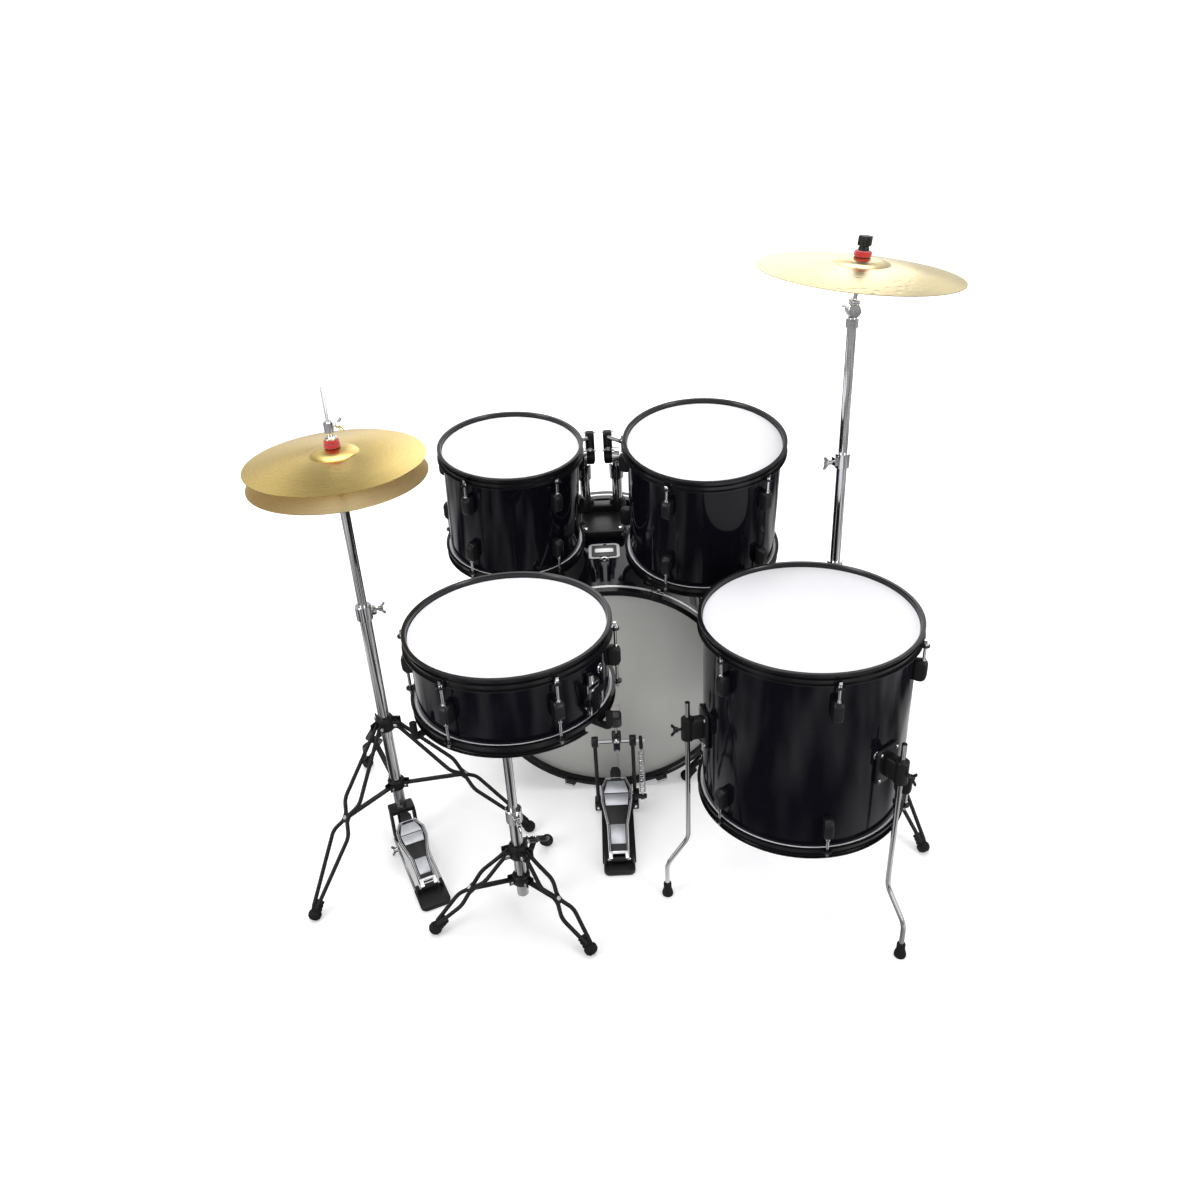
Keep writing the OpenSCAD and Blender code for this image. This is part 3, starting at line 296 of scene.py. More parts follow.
def cymbal_metal(name, color, dark, rough, groove_mm, hammered):
    """Bronze with turned grooves about the cymbal's own Z, and hammer marks if asked."""
    mat, tree, shader = new_material(name, color, rough, 1.0)
    coord = tree.nodes.new("ShaderNodeTexCoord")
    flat = tree.nodes.new("ShaderNodeVectorMath")
    flat.operation = "MULTIPLY"
    flat.inputs[1].default_value = (1, 1, 0)
    tree.links.new(coord.outputs["Object"], flat.inputs[0])
    radius = tree.nodes.new("ShaderNodeVectorMath")
    radius.operation = "LENGTH"
    tree.links.new(flat.outputs["Vector"], radius.inputs[0])
    band = tree.nodes.new("ShaderNodeCombineXYZ")
    tree.links.new(radius.outputs["Value"], band.inputs["X"])
    rings = tree.nodes.new("ShaderNodeTexNoise")
    rings.inputs["Scale"].default_value = 1000 / groove_mm
    rings.inputs["Detail"].default_value = 2.0
    tree.links.new(band.outputs["Vector"], rings.inputs["Vector"])
    patina = noise(tree, 9.0, 5.0)
    blend = tree.nodes.new("ShaderNodeMath")
    blend.operation = "MULTIPLY_ADD"
    blend.inputs[1].default_value = 0.5
    tree.links.new(rings.outputs["Fac"], blend.inputs[0])
    half = spread(tree, patina, 0.0, 0.5)
    tree.links.new(half, blend.inputs[2])
    tree.links.new(tint(tree, blend.outputs["Value"], dark, color), shader.inputs["Base Color"])
    gloss = spread(tree, rings.outputs["Fac"], rough * 0.8, rough * 1.25)
    tree.links.new(gloss, shader.inputs["Roughness"])
    bump(tree, shader, rings.outputs["Fac"], 0.12)
    if hammered:
        cells = tree.nodes.new("ShaderNodeTexVoronoi")
        cells.inputs["Scale"].default_value = 62.0
        tree.links.new(coord.outputs["Object"], cells.inputs["Vector"])
        dent = tree.nodes.new("ShaderNodeMapRange")
        dent.inputs["From Max"].default_value = 0.42
        tree.links.new(cells.outputs["Distance"], dent.inputs["Value"])
        bump(tree, shader, dent.outputs["Result"], 0.5, 0.7)
    tangent = tree.nodes.new("ShaderNodeTangent")
    tangent.direction_type = "RADIAL"
    tangent.axis = "Z"
    tree.links.new(tangent.outputs["Tangent"], shader.inputs["Tangent"])
    shader.inputs["Anisotropic"].default_value = 0.8
    return mat


WRAP = surface("wrap_gloss_black", (0.003, 0.003, 0.005), 0.07, vary=0.3, grain=60, depth=0.004, shine=0.2)
HOOP = surface("hoop_black", (0.006, 0.006, 0.007), 0.22, vary=0.25, grain=700, depth=0.015, shine=0.34)
WOOD = surface("hoop_lacquer", (0.004, 0.004, 0.005), 0.16, vary=0.4, grain=35, depth=0.02,
               squeeze=(1, 6, 1), shine=0.3)
CAST = surface("cast_black", (0.006, 0.006, 0.007), 0.36, vary=0.3, grain=900, depth=0.03, shine=0.3)
LEGS = surface("legs_black", (0.006, 0.006, 0.006), 0.42, vary=0.35, grain=1400, depth=0.05, shine=0.26)
RUBBER = surface("rubber_black", (0.007, 0.007, 0.007), 0.72, vary=0.3, grain=1200, depth=0.06, shine=0.2)
CHROME = surface("chrome_plate", (0.66, 0.66, 0.67), 0.09, metallic=1.0, vary=0.06, grain=30, depth=0.004)
SATIN = surface("satin_steel", (0.62, 0.62, 0.64), 0.30, metallic=1.0, vary=0.12, grain=900, depth=0.02,
                squeeze=(1, 0.08, 1))
PANEL = surface("silver_panel", (0.42, 0.43, 0.46), 0.36, metallic=0.75, vary=0.16, grain=260, depth=0.05,
                detail=6)
HEAD = surface("head_coated", (0.80, 0.80, 0.83), 0.52, vary=0.015, grain=1500, depth=0.03)
FILM = surface("head_film_grey", (0.37, 0.37, 0.352), 0.34, vary=0.14, grain=5, depth=0.02, coat=0.25,
               coat_rough=0.3)
RED = surface("felt_red", (0.46, 0.012, 0.014), 0.95, vary=0.35, grain=900, depth=0.4, sheen=0.5)
FELT = surface("felt_grey", (0.30, 0.29, 0.27), 0.95, vary=0.3, grain=800, depth=0.4, sheen=0.5)
BADGE = surface("badge_silver", (0.80, 0.80, 0.80), 0.28, metallic=0.6, vary=0.05, grain=300, depth=0.01)
INK = surface("badge_dark", (0.02, 0.02, 0.022), 0.30, vary=0.2, grain=300, depth=0.01)
CRASH = cymbal_metal("crash_bronze_hammered", (0.86, 0.74, 0.44), (0.62, 0.51, 0.26), 0.30, 1.6, True)
HATS = cymbal_metal("hat_bronze_lathed", (0.80, 0.60, 0.21), (0.64, 0.46, 0.14), 0.27, 1.1, False)

CAD_LOOKS = {
    "bass_drum_shell": WRAP, "left_tom_shell": WRAP, "right_tom_shell": WRAP, "floor_tom_shell": WRAP,
    "snare_shell": WRAP, "bass_drum_heads": FILM, "bass_drum_hoops": WOOD,
    "left_tom_heads": HEAD, "right_tom_heads": HEAD, "floor_tom_heads": HEAD, "snare_heads": HEAD,
    "left_tom_hoops": HOOP, "right_tom_hoops": HOOP, "floor_tom_hoops": HOOP, "snare_hoops": HOOP,
    "left_spur": CHROME, "right_spur": CHROME, "left_tom_tube": CHROME, "right_tom_tube": CHROME,
    "left_tom_rods": CHROME, "right_tom_rods": CHROME, "floor_tom_rods": CHROME, "snare_rods": CHROME,
    "snare_strainer": CHROME, "snare_lever": CHROME, "snare_wires": SATIN,
    "snare_stand_tube": CHROME, "hihat_tube": CHROME, "crash_stand_middle_tube": CHROME,
    "crash_stand_top_tube": CHROME,
}
for node_name, node_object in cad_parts.items():
    look = CAD_LOOKS.get(node_name, CAST)
    for material_slot in node_object.material_slots:
        material_slot.material = look


BASS_R = 279.4
BASS_HOOP_R = BASS_R + 14
BASS_LEN = 457.2 + 36
BASS_TILT = 3.5
BASS = at(0, 0, 6) @ turn(BASS_TILT, "X") @ at(0, 0, BASS_HOOP_R)
BASS_AXIS = BASS @ turn(-90, "X")
HOLDER_X = 40
HOLDER_Y = 380
TILTER_Z = 770
ARM_RISE = 50
ROD_R = 5.2
ROD_OFF = 14.5


class Drum:
    def __init__(self, name, body, centre, lean, d, depth, lugs_from, lugs):
        self.name, self.body, self.centre = name, body, Vector(centre)
        self.r, self.depth, self.lugs_from, self.lugs = d / 2, depth, lugs_from, lugs
        self.frame = at(*centre) @ turn(lean[1]) @ turn(lean[0], "X") @ turn(-lean[1])
        self.normal = (self.frame.to_3x3() @ UP).normalized()


LEFT = Drum("left_tom", "left_tom", (-196.7, 137, 876), (7.6, 20.3), 304.8, 254, -122.7, 5)
RIGHT = Drum("right_tom", "right_tom", (227.9, 47, 900.4), (10.4, 2.6), 330.2, 279.4, -121.1, 5)
FLOOR = Drum("floor_tom", "kit_base", (389.7, -328.3, 676.4), (0, 0), 406.4, 406.4, -147.1, 6)
SNARE = Drum("snare", "snare_drum", (-176.4, -435.8, 755.4), (0, 0), 355.6, 139.7, -121.4, 6)


# ---- lugs: rounded black blocks with chrome swivel nuts ----
def lug_block(piece, m, r, top, tall):
    """One block's side outline, the same above and below, given its width."""
    upper = [(-2, 2), (8, 0), (16, 1), (21, 5), (23, 11)]
    side = [(r + out, top - down) for out, down in upper]
    side += [(r + out, top - tall + down) for out, down in reversed(upper)]
    piece.plate(side, 19, m @ at(0, 9.5, 0) @ turn(90, "X"), 4.5, 4)


def drum_lugs(drum, drop, tall, both_ends):
    body, nuts = Piece(drum.frame), Piece(drum.frame)
    ends = [Matrix()]
    if both_ends:
        ends.append(at(0, 0, -drum.depth) @ Matrix.Diagonal((1, 1, -1, 1)))
    for end in ends:
        for i in range(drum.lugs):
            m = end @ turn(drum.lugs_from + 360 * i / drum.lugs)
            lug_block(body, m, drum.r, -drop, tall)
            nuts.lathe([(4.6, -drop - 1), (4.6, -drop + 2.4), (3.2, -drop + 3)],
                       m @ at(drum.r + ROD_OFF, 0, 0), 18)
    if not both_ends:
        for i in range(drum.lugs):
            m = turn(drum.lugs_from + 360 * i / drum.lugs)
            nuts.lathe([(4.6, -drop - tall + 1), (4.6, -drop - tall - 2.4), (3.2, -drop - tall - 3)],
                       m @ at(drum.r + ROD_OFF, 0, 0), 18)
    body.done(drum.name + "_lug_blocks", CAST, drum.body, [drum.name + "_lugs"], "black_casting")
    nuts.done(drum.name + "_swivel_nuts", CHROME, drum.body, slot="chrome_part")


for drum in (LEFT, RIGHT, FLOOR):
    drum_lugs(drum, 44, 46, True)
drum_lugs(SNARE, 50, 40, False)


# ---- vents and badges ----
def vent(drum, angle, z):
    """Grommet of the air hole, at a height below the top head."""
    m = drum.frame @ turn(angle) @ at(drum.r, 0, z) @ turn(90, "Y")
    grommet = [(3.6, -6), (3.6, 0.8), (4.6, 1.8), (8.5, 1.5), (9.4, 0.5), (9.4, -0.2), (4.8, -0.4),
               (4.8, -6)]
    piece = Piece(m).lathe(grommet, n=32, open_ends=True)
    piece.done(drum.name + "_vent", CHROME, drum.body, slot="chrome_part")


vent(LEFT, LEFT.lugs_from + 180, -127)
vent(RIGHT, RIGHT.lugs_from + 180, -139.7)
vent(FLOOR, -60, -200)
vent(SNARE, -24, -52)


# ---- bass drum: hoop inlays, lugs, claws and T-rods, holder, badge ----
def bass_details():
    for end, name in ((Matrix(), "batter"), (at(0, 0, BASS_LEN) @ Matrix.Diagonal((1, 1, -1, 1)), "front")):
        inlay = Piece(BASS_AXIS)
        r = BASS_HOOP_R
        band = [(r - 0.3, 18), (r + 0.35, 18.4), (r + 0.35, 25.6), (r - 0.3, 26)]
        inlay.lathe(band, end, 160, open_ends=True)
        inlay.done("bass_inlay_" + name, BADGE, "kit_base", slot="chrome_part")
    lugs, claws, rods = Piece(BASS_AXIS), Piece(BASS_AXIS), Piece(BASS_AXIS)
    rod_r = BASS_R + 26
    hook = [(BASS_R + 5, -2.4), (BASS_R + 15, -2.4), (BASS_R + 19, 0), (BASS_R + 31, 10), (BASS_R + 31, 17),
            (BASS_R + 22, 17), (BASS_R + 14.4, 11), (BASS_R + 14.4, -0.3), (BASS_R + 5, -0.3)]
    side = [(BASS_R - 3, 92), (BASS_R + 18, 92), (BASS_R + 30, 96), (BASS_R + 35, 104), (BASS_R + 35, 132),
            (BASS_R + 30, 140), (BASS_R + 18, 144), (BASS_R - 3, 144)]
    for end in (Matrix(), at(0, 0, BASS_LEN) @ Matrix.Diagonal((1, 1, -1, 1))):
        for i in range(8):
            m = end @ turn(22.5 + 45 * i)
            lugs.plate(side, 23, m @ at(0, 11.5, 0) @ turn(90, "X"), 5, 4)
            claws.plate(hook, 25, m @ at(0, 12.5, 0) @ turn(90, "X"), 0.9, 2)
            rods.rod(m @ Vector((rod_r, 0, 2)), m @ Vector((rod_r, 0, 100)), 3.1)
            rods.rod(m @ Vector((rod_r, -13, 2.4)), m @ Vector((rod_r, 13, 2.4)), 3.3, 1.2)
            rods.lathe([(5.2, 3), (5.2, 9), (3.4, 11)], m @ at(rod_r, 0, 0), 20)
    lugs.done("bass_lug_blocks", CAST, "kit_base", ["bass_drum_lugs"], "black_casting")
    claws.done("bass_claw_hooks", CAST, "kit_base", ["bass_drum_claws"], "black_casting")
    rods.done("bass_t_rods", CHROME, "kit_base", slot="chrome_part")


bass_details()


def tom_holder():
    black, chrome = Piece(BASS), Piece(BASS)
    base = BASS_R - 12
    black.plate(rounded(116, 148, 16), 33, at(0, HOLDER_Y - 45, base), 5, 4)
    black.box(2 * HOLDER_X, 30, 44, (0, HOLDER_Y, base + 28), r=6, bevel=4)
    for x in (-HOLDER_X, HOLDER_X):
        black.lathe([(21, 0), (21, 50), (19.5, 54), (19.5, 60), (17, 64), (14, 64), (13, 62), (13, 10)],
                    at(x, HOLDER_Y, base), 40, open_ends=True)
        black.plate(rounded(24, 14, 4), 26, at(x, HOLDER_Y + 20, base + 32), 2)
        chrome.wing_bolt(at(x, HOLDER_Y + 24, base + 46) @ turn(-90, "X"), 6)
        for dy in (-104, 14):
            chrome.lathe([(5.5, 0), (5.5, 2.5), (3, 4.5), (0, 5)],
                         at(x * 1.05, HOLDER_Y + dy, base + 32.6), 18)
    black.done("holder_casting", CAST, "kit_base", ["tom_holder"], "black_casting")
    chrome.done("holder_bolts", CHROME, "kit_base", slot="chrome_part")


tom_holder()


SPUR_Y = 372
SPUR_OUT = 24
SPUR_LEAN = 26
SPUR_GAP = 13
SPUR_BALL = 11.2


def spur_foot(side, body):
    """Ribbed rubber foot pushed over the end of a spur."""
    hub = BASS @ Matrix.Diagonal((side, 1, 1, 1)) @ at(BASS_R + 20, SPUR_Y, 0)
    drop = hub.translation.z + SPUR_GAP * sin(SPUR_OUT) * cos(BASS_TILT) - SPUR_BALL
    reach = drop / (cos(SPUR_LEAN) * cos(SPUR_OUT) * cos(BASS_TILT) - sin(SPUR_LEAN) * sin(BASS_TILT))
    foot = Piece(hub @ turn(-SPUR_OUT, "Y") @ turn(SPUR_LEAN, "X") @ at(SPUR_GAP, 0, -reach))
    profile = [(0, -11.6)] + [(11.6 * sin(a), -11.6 * cos(a)) for a in range(15, 91, 15)]
    for z in (8, 15, 22):
        profile += [(11.6, z), (12.8, z + 1), (12.8, z + 4), (11.6, z + 5)]
    foot.lathe(profile + [(12.6, 33), (12.6, 38), (10, 41), (8.1, 42)], n=36)
    for v in foot.bm.verts:
        v.co.z = max(v.co.z, 0.2)
    foot.done(body + "_foot", RUBBER, body, slot="leg_black")


spur_foot(1, "right_spur")
spur_foot(-1, "left_spur")


BADGE_Y = 203


def curved_badge(name, w, l, z0, z1, material, corner):
    """A plate wrapped round the crown of the bass drum."""
    piece = Piece(BASS)
    outline = rounded(w, l, corner)
    bent = [(math.degrees(x / BASS_R), BADGE_Y + y) for x, y in outline]
    piece.skin([[((BASS_R + z) * sin(a), y, (BASS_R + z) * cos(a)) for a, y in bent] for z in (z0, z1)])
    piece.done(name, material, "kit_base", slot="chrome_part")


curved_badge("badge_plate", 74, 68, 0.1, 1.7, BADGE, 11)
curved_badge("badge_field", 60, 52, 1.6, 2.2, INK, 6)
curved_badge("badge_bar", 44, 18, 2.1, 2.6, BADGE, 4)
bass_vent = Piece(BASS)
bass_vent.lathe([(4, -9), (4, 1.6), (5, 2.6), (9, 2.3), (10, 1.2), (10, 0.1), (5.6, 0), (5.6, -9)],
                at(0, BADGE_Y - 40, BASS_R), 32, open_ends=True)
bass_vent.done("bass_vent", CHROME, "kit_base", slot="chrome_part")


# ---- rack tom arms and brackets ----
def tilter(side):
    """Where the hinge of a rack tom's arm is."""
    top = BASS @ Vector((0, HOLDER_Y, (TILTER_Z - 29) / cos(BASS_TILT) - BASS_HOOP_R))
    return Vector((side * HOLDER_X, top.y, TILTER_Z))


def rod_bend(side, drum):
    """Where the arm's rod turns down along the drum's shell."""
    start = tilter(side) + UP * ARM_RISE
    axis = drum.centre - drum.normal * ((drum.centre.z - start.z) / drum.normal.z)
    out = Vector((start.x - axis.x, start.y - axis.y, 0)).normalized()
    return axis + out * (drum.r + 19)


def tom_arm(side, drum):
    name = drum.name
    pivot = tilter(side) - Vector((side * 18.3, 0, 0))
    m = at(*pivot) @ turn(90, "Y")
    black, chrome = Piece(), Piece()
    black.lathe([(19, -9), (21, -7), (21, 7), (19, 9)], m, 40)
    for k in range(24):
        a = 15 * k
        black.box(2.2, 5, 1.4, (0, 0, 0), m @ turn(a) @ at(0, 18, -9), 0.6, 0.4)
    cheek = [(-21, -4), (-17, -14), (0, -20), (17, -14), (21, -4), (17, 22), (15, 52), (9, 62), (-9, 62),
             (-15, 52), (-17, 22)]
    black.plate(cheek, 22, at(*pivot) @ turn(90, "Z") @ turn(90, "X") @ at(0, 0, -11), 7, 5)
    black.lathe([(12, -10), (14, -8), (14, 8), (12, 10)], at(*(pivot + UP * ARM_RISE)) @ turn(90, "Y"), 32)
    chrome.wing_bolt(at(*(pivot + Vector((0, -12, 25)))) @ turn(90, "X"), 6)
    chrome.wing_bolt(at(*(pivot + UP * ARM_RISE + Vector((0, 10, 0)))) @ turn(-90, "X"), 6)
    start = tilter(side) + UP * ARM_RISE - Vector((side * 26, 0, 0))
    bend = rod_bend(side, drum)
    chrome.tube([start, bend, bend - drum.normal * 132], ROD_R, 9, 20)
    black.done(name + "_arm_casting", CAST, name + "_arm", [name + "_arm"], "black_casting")
    chrome.done(name + "_arm_rod", CHROME, name + "_arm", slot="chrome_part")
    # bracket on the shell
    local = drum.frame.inverted() @ bend
    rod_r = math.hypot(local.x, local.y)
    a = math.degrees(math.atan2(local.y, local.x))
    b = drum.frame @ turn(a) @ at(0, 0, local.z)
    plate, bolts = Piece(b), Piece(b)
    plate.plate(rounded(70, 54, 8), 8, at(drum.r - 1.5, 0, -82) @ turn(90, "Y"), 2.5, 3)
    plate.box(20, 24, 46, (rod_r - 8, 0, -83), r=5, bevel=3)
    plate.lathe([(11, -109), (12.5, -107), (12.5, -60), (11, -58), (5.4, -58), (5.4, -109)],
                at(rod_r, 0, 0), 32, open_ends=True)
    bolts.wing_bolt(at(rod_r, side * 11, -83) @ turn(-90 * side, "X"), 8)
    for dy in (-20, 20):
        for dz in (-108, -56):
            bolts.ball((drum.r + 6.4, dy, dz), 3.4, 14)
    plate.done(name + "_bracket_casting", CAST, name, [name + "_bracket"], "black_casting")
    bolts.done(name + "_bracket_bolts", CHROME, name, slot="chrome_part")


tom_arm(-1, LEFT)
tom_arm(1, RIGHT)


# ---- floor tom legs and brackets ----
LEG_CIRCLE = 240
LEG_BEND = 48
LEG_ANGLES = (187, 307, 67)


def floor_leg(i, angle):
    m = at(FLOOR.centre.x, FLOOR.centre.y, 0) @ turn(angle)
    rod, foot = Piece(m), Piece(m)
    toe = LEG_CIRCLE + LEG_BEND
    rod.tube([(LEG_CIRCLE, 0, 512), (LEG_CIRCLE, 0, 158), (toe, 0, 88), (toe, 0, 18)], ROD_R, 16, 20)
    ribs = [(8.2 + 0.7 * (k % 2), 34 - 2.2 * k) for k in range(7)]
    foot.lathe([(5.4, 36), (7.6, 35)] + ribs + [(9, 18), (11.2, 11), (12.4, 5), (12, 1.4), (10.5, 0)],
               at(toe, 0, 0), 32)
    body = "floor_tom_leg_%d" % i
    rod.done("floor_leg_rod_%d" % i, CHROME, body, [body], "chrome_part")
    foot.done("floor_leg_tip_%d" % i, RUBBER, body, slot="black_casting")


def floor_brackets():
    black, bolts = Piece(FLOOR.frame), Piece(FLOOR.frame)
    z = 448 - FLOOR.centre.z
    for angle in LEG_ANGLES:
        m = turn(angle) @ at(0, 0, z)
        black.plate(rounded(80, 60, 9), 8, m @ at(FLOOR.r - 1.5, 0, 0) @ turn(90, "Y"), 2.5, 3)
        black.box(40, 24, 46, (FLOOR.r + 18, 0, 0), m, 6, 4)
        black.lathe([(11.5, -26), (13.4, -24), (13.4, 24), (11.5, 26), (5.4, 26), (5.4, -26)],
                    m @ at(LEG_CIRCLE, 0, 0), 32, open_ends=True)
        black.wing_bolt(m @ at(LEG_CIRCLE + 11, 0, 0) @ turn(90, "Y"), 8)
        for dy in (-22, 22):
            for dz in (-30, 30):
                bolts.lathe([(3.8, 0), (3.8, 1.4), (2.4, 3), (0, 3.4)],
                            m @ at(FLOOR.r + 6.2, dy, dz) @ turn(90, "Y"), 14)
    black.done("floor_bracket_castings", CAST, "kit_base", ["floor_tom_brackets"], "black_casting")
    bolts.done("floor_bracket_bolts", CHROME, "kit_base", slot="chrome_part")


for number, leg_angle in enumerate(LEG_ANGLES, 1):
    floor_leg(number, leg_angle)
floor_brackets()


# ---- tripods ----
BAR_R = 4.5
BOOT = [(6.5, -20), (11, -18), (11, -14), (9.2, -12.5), (11.4, -10), (11.4, -6), (9.6, -4.5), (11.8, -2),
        (11.8, 2), (10.4, 3.5), (13.4, 6), (14.6, 11), (13.6, 18), (9, 23), (0, 25)]


def tripod(place, foot_r, collar_z, ring_z, start, loop):
    """Three double-bar legs from a collar, with braces to a ring lower down."""
    m = at(*place, 0)
    bars, boots, bolts = Piece(m), Piece(m), Piece(m)
    bars.lathe([(13.2, collar_z - 16), (19.5, collar_z - 16), (21, collar_z - 14), (21, collar_z + 10),
                (17.5, collar_z + 17), (13.2, collar_z + 17)],
               Matrix(), 40, True)
    bars.lathe([(13.2, ring_z - 12), (18, ring_z - 12), (19.5, ring_z - 10), (19.5, ring_z + 9),
                (17, ring_z + 12), (13.2, ring_z + 12)], Matrix(), 40, True)
    a = Vector((24, 0, collar_z))
    f = Vector((foot_r - 10, 0, 26))
    length = (f - a).length
    pitch = math.degrees(math.atan2(a.z - f.z, f.x - a.x))
    neck = length / 2
    for i in range(3):
        leg = turn(start + 120 * i)
        plane = leg @ at(*a) @ turn(pitch, "Y")
        for s in (-1, 1):
            bars.tube([(-6, s * 6, 0), (20, s * 7, 0), (neck - 36, s * loop[0], 0), (neck - 8, s * 5, 0),
                       (neck + 8, s * 5, 0), (neck + 36, s * loop[1], 0), (length - 4, s * 5, 0)],
                      BAR_R, 13, 12, plane)
            bars.box(30, 4, 18, (19, s * 11, collar_z), leg, 1.5, 1)
            bars.box(16, 3.5, 15, (21, s * 8, ring_z), leg, 1.5, 1)
            outward = turn(-90 * s, "X")
            bolts.lathe([(5, 0), (5, 2.4), (2.6, 4)], leg @ at(26, s * 13, collar_z) @ outward, 16)
            bolts.lathe([(3.4, 0), (3.4, 1.6), (1.6, 2.8)], leg @ at(23, s * 9.7, ring_z) @ outward, 14)
        joint = leg @ (a + (f - a) * 0.5)
        ring_end = leg @ Vector((22, 0, ring_z))
        brace = along(ring_end, joint)
        span = (joint - ring_end).length
        side = brace.inverted().to_3x3() @ (leg.to_3x3() @ Vector((0, 1, 0)))
        spin = math.degrees(math.atan2(side.y, side.x))
        bars.plate(rounded(13, 5, 2), span + 6, brace @ turn(spin), 0.6, 2)
        bolts.lathe([(4.6, -7.4), (4.6, 7.4)], plane @ at(neck, 0, 0), 16)
        bars.plate(rounded(22, 15, 5), 11.6, plane @ at(neck, 0, -5.8), 1.5, 2)
        boots.lathe(BOOT, leg @ at(foot_r - 16, 0, 22) @ turn(90 + pitch, "Y"), 28)
    for v in boots.bm.verts:
        v.co.z = max(v.co.z, 0.2)
    return bars, boots, bolts


def sleeve(piece, z, r, facing, m, tall=34):
    """Clamp at a tube's mouth."""
    low = z - tall
    piece.lathe([(r + 0.1, low), (r + 3.4, low), (r + 4.6, low + 1.5), (r + 4.6, z - 2), (r + 3, z),
                 (r - 2, z)], m, 36)
    piece.box(15, 15, 18, (r + 6, 0, z - tall / 2), m @ turn(facing), 3, 2)
    piece.wing_bolt(m @ turn(facing) @ at(r + 12, 0, z - tall / 2) @ turn(90, "Y"), 6)


def stand_base(name, node, place, foot_r, collar_z, ring_z, start, tube_low, tube_top, clamp_face,
               loop=(22, 23)):
    """Tripod, lowest tube and its clamp."""
    bars, boots, chrome = tripod(place, foot_r, collar_z, ring_z, start, loop)
    chrome.lathe([(11.8, tube_low), (12.7, tube_low + 1), (12.7, tube_top), (9.8, tube_top)], Matrix(), 40)
    sleeve(chrome, tube_top + 14, 12.7, clamp_face, Matrix())
    bars.done(name + "_leg_bars", LEGS, "kit_base", [node], "leg_black")
    boots.done(name + "_boots", RUBBER, "kit_base", slot="leg_black")
    chrome.done(name + "_lower_tube", CHROME, "kit_base", slot="chrome_part")


SNARE_STAND = (-212.4, -384.3)
HAT = (-515.2, -131.1)
CRASH_AT = (520.9, 24.3)
stand_base("snare_stand", "snare_stand_base", SNARE_STAND, 204, 172, 92, 197.3, 46, 272, -70, (17, 18))
stand_base("hihat_stand", "hihat_base", HAT, 310, 335, 160, 238.2, 34, 628, 20)
stand_base("crash_stand", "crash_stand_base", CRASH_AT, 350, 380, 190, 300.7, 120, 596, 200)


# ---- snare basket ----
def snare_basket():
    hub_z = SNARE.centre.z - SNARE.depth - 10.4 - 48
    hub = Vector((*SNARE_STAND, hub_z))
    black, rubber, chrome = Piece(), Piece(), Piece()
    m = at(*hub)
    black.lathe([(8, 14), (20, 15), (22, 18), (22, 28), (19, 31), (8, 31)], m, 36)
    for s in (-1, 1):
        black.plate([(-14, -20), (14, -20), (16, 0), (14, 20), (-14, 20), (-16, 0)], 9,
                    m @ at(0, s * 12 + 4.5, -4) @ turn(90, "X"), 2, 3)
    chrome.rod(hub + Vector((0, -22, -12)), hub + Vector((0, 22, -12)), 4)
    # adjusting knob on the far side of the tilter
    black.lathe([(6, 22), (9, 23), (9, 30), (16, 33), (17, 40), (15, 52), (9, 55)],
                m @ at(0, 0, -12) @ turn(90, "X"), 32)
    for a in (90, 210, 330):
        rim = Vector((SNARE.centre.x + (SNARE.r + 4) * cos(a), SNARE.centre.y + (SNARE.r + 4) * sin(a), 0))
        v = rim - Vector((hub.x, hub.y, 0))
        arm = m @ turn(math.degrees(math.atan2(v.y, v.x)))
        reach = v.length
        black.tube([(6, 0, 22), (44, 0, 21), (reach - 16, 0, 40), (reach + 21, 0, 41), (reach + 21, 0, 66)],
                   4.6, 16, 14, arm)
        finger = [(reach - 16, 0, 40.6), (reach + 21.4, 0, 40.8), (reach + 21.4, 0, 73)]
        rubber.tube(finger, 6.6, 9, 16, arm)
    black.done("basket_arms", LEGS, "snare_basket", ["snare_basket"], "leg_black")
    rubber.done("basket_fingers", RUBBER, "snare_basket", slot="leg_black")
    chrome.done("basket_pin", CHROME, "snare_basket", slot="chrome_part")


snare_basket()


# ---- cymbals ----
def cymbal_profile(d, rise, bell_d, bell_h, wall, steps=40):
    r, bell = d / 2, bell_d / 2

    def height(x):
        if x < bell:
            return rise + bell_h * math.sqrt(max(0, 1 - 0.96 * (x / bell) ** 2)) - 0.2 * bell_h
        return rise * (1 - ((x - bell) / (r - bell)) ** 1.5)

    xs = [6.5 + (bell - 6.5) * sin(90 * i / 14) for i in range(15)]
    xs += [bell + (r - bell) * i / steps for i in range(1, steps + 1)]
    return [(x, height(x) + wall) for x in xs] + [(x, height(x)) for x in reversed(xs)]


def cymbal(name, m, profile, material, body, node, slot):
    piece = Piece(m)
    piece.lathe(profile, n=180, open_ends=True)
    piece.done(name, material, body, [node], slot)


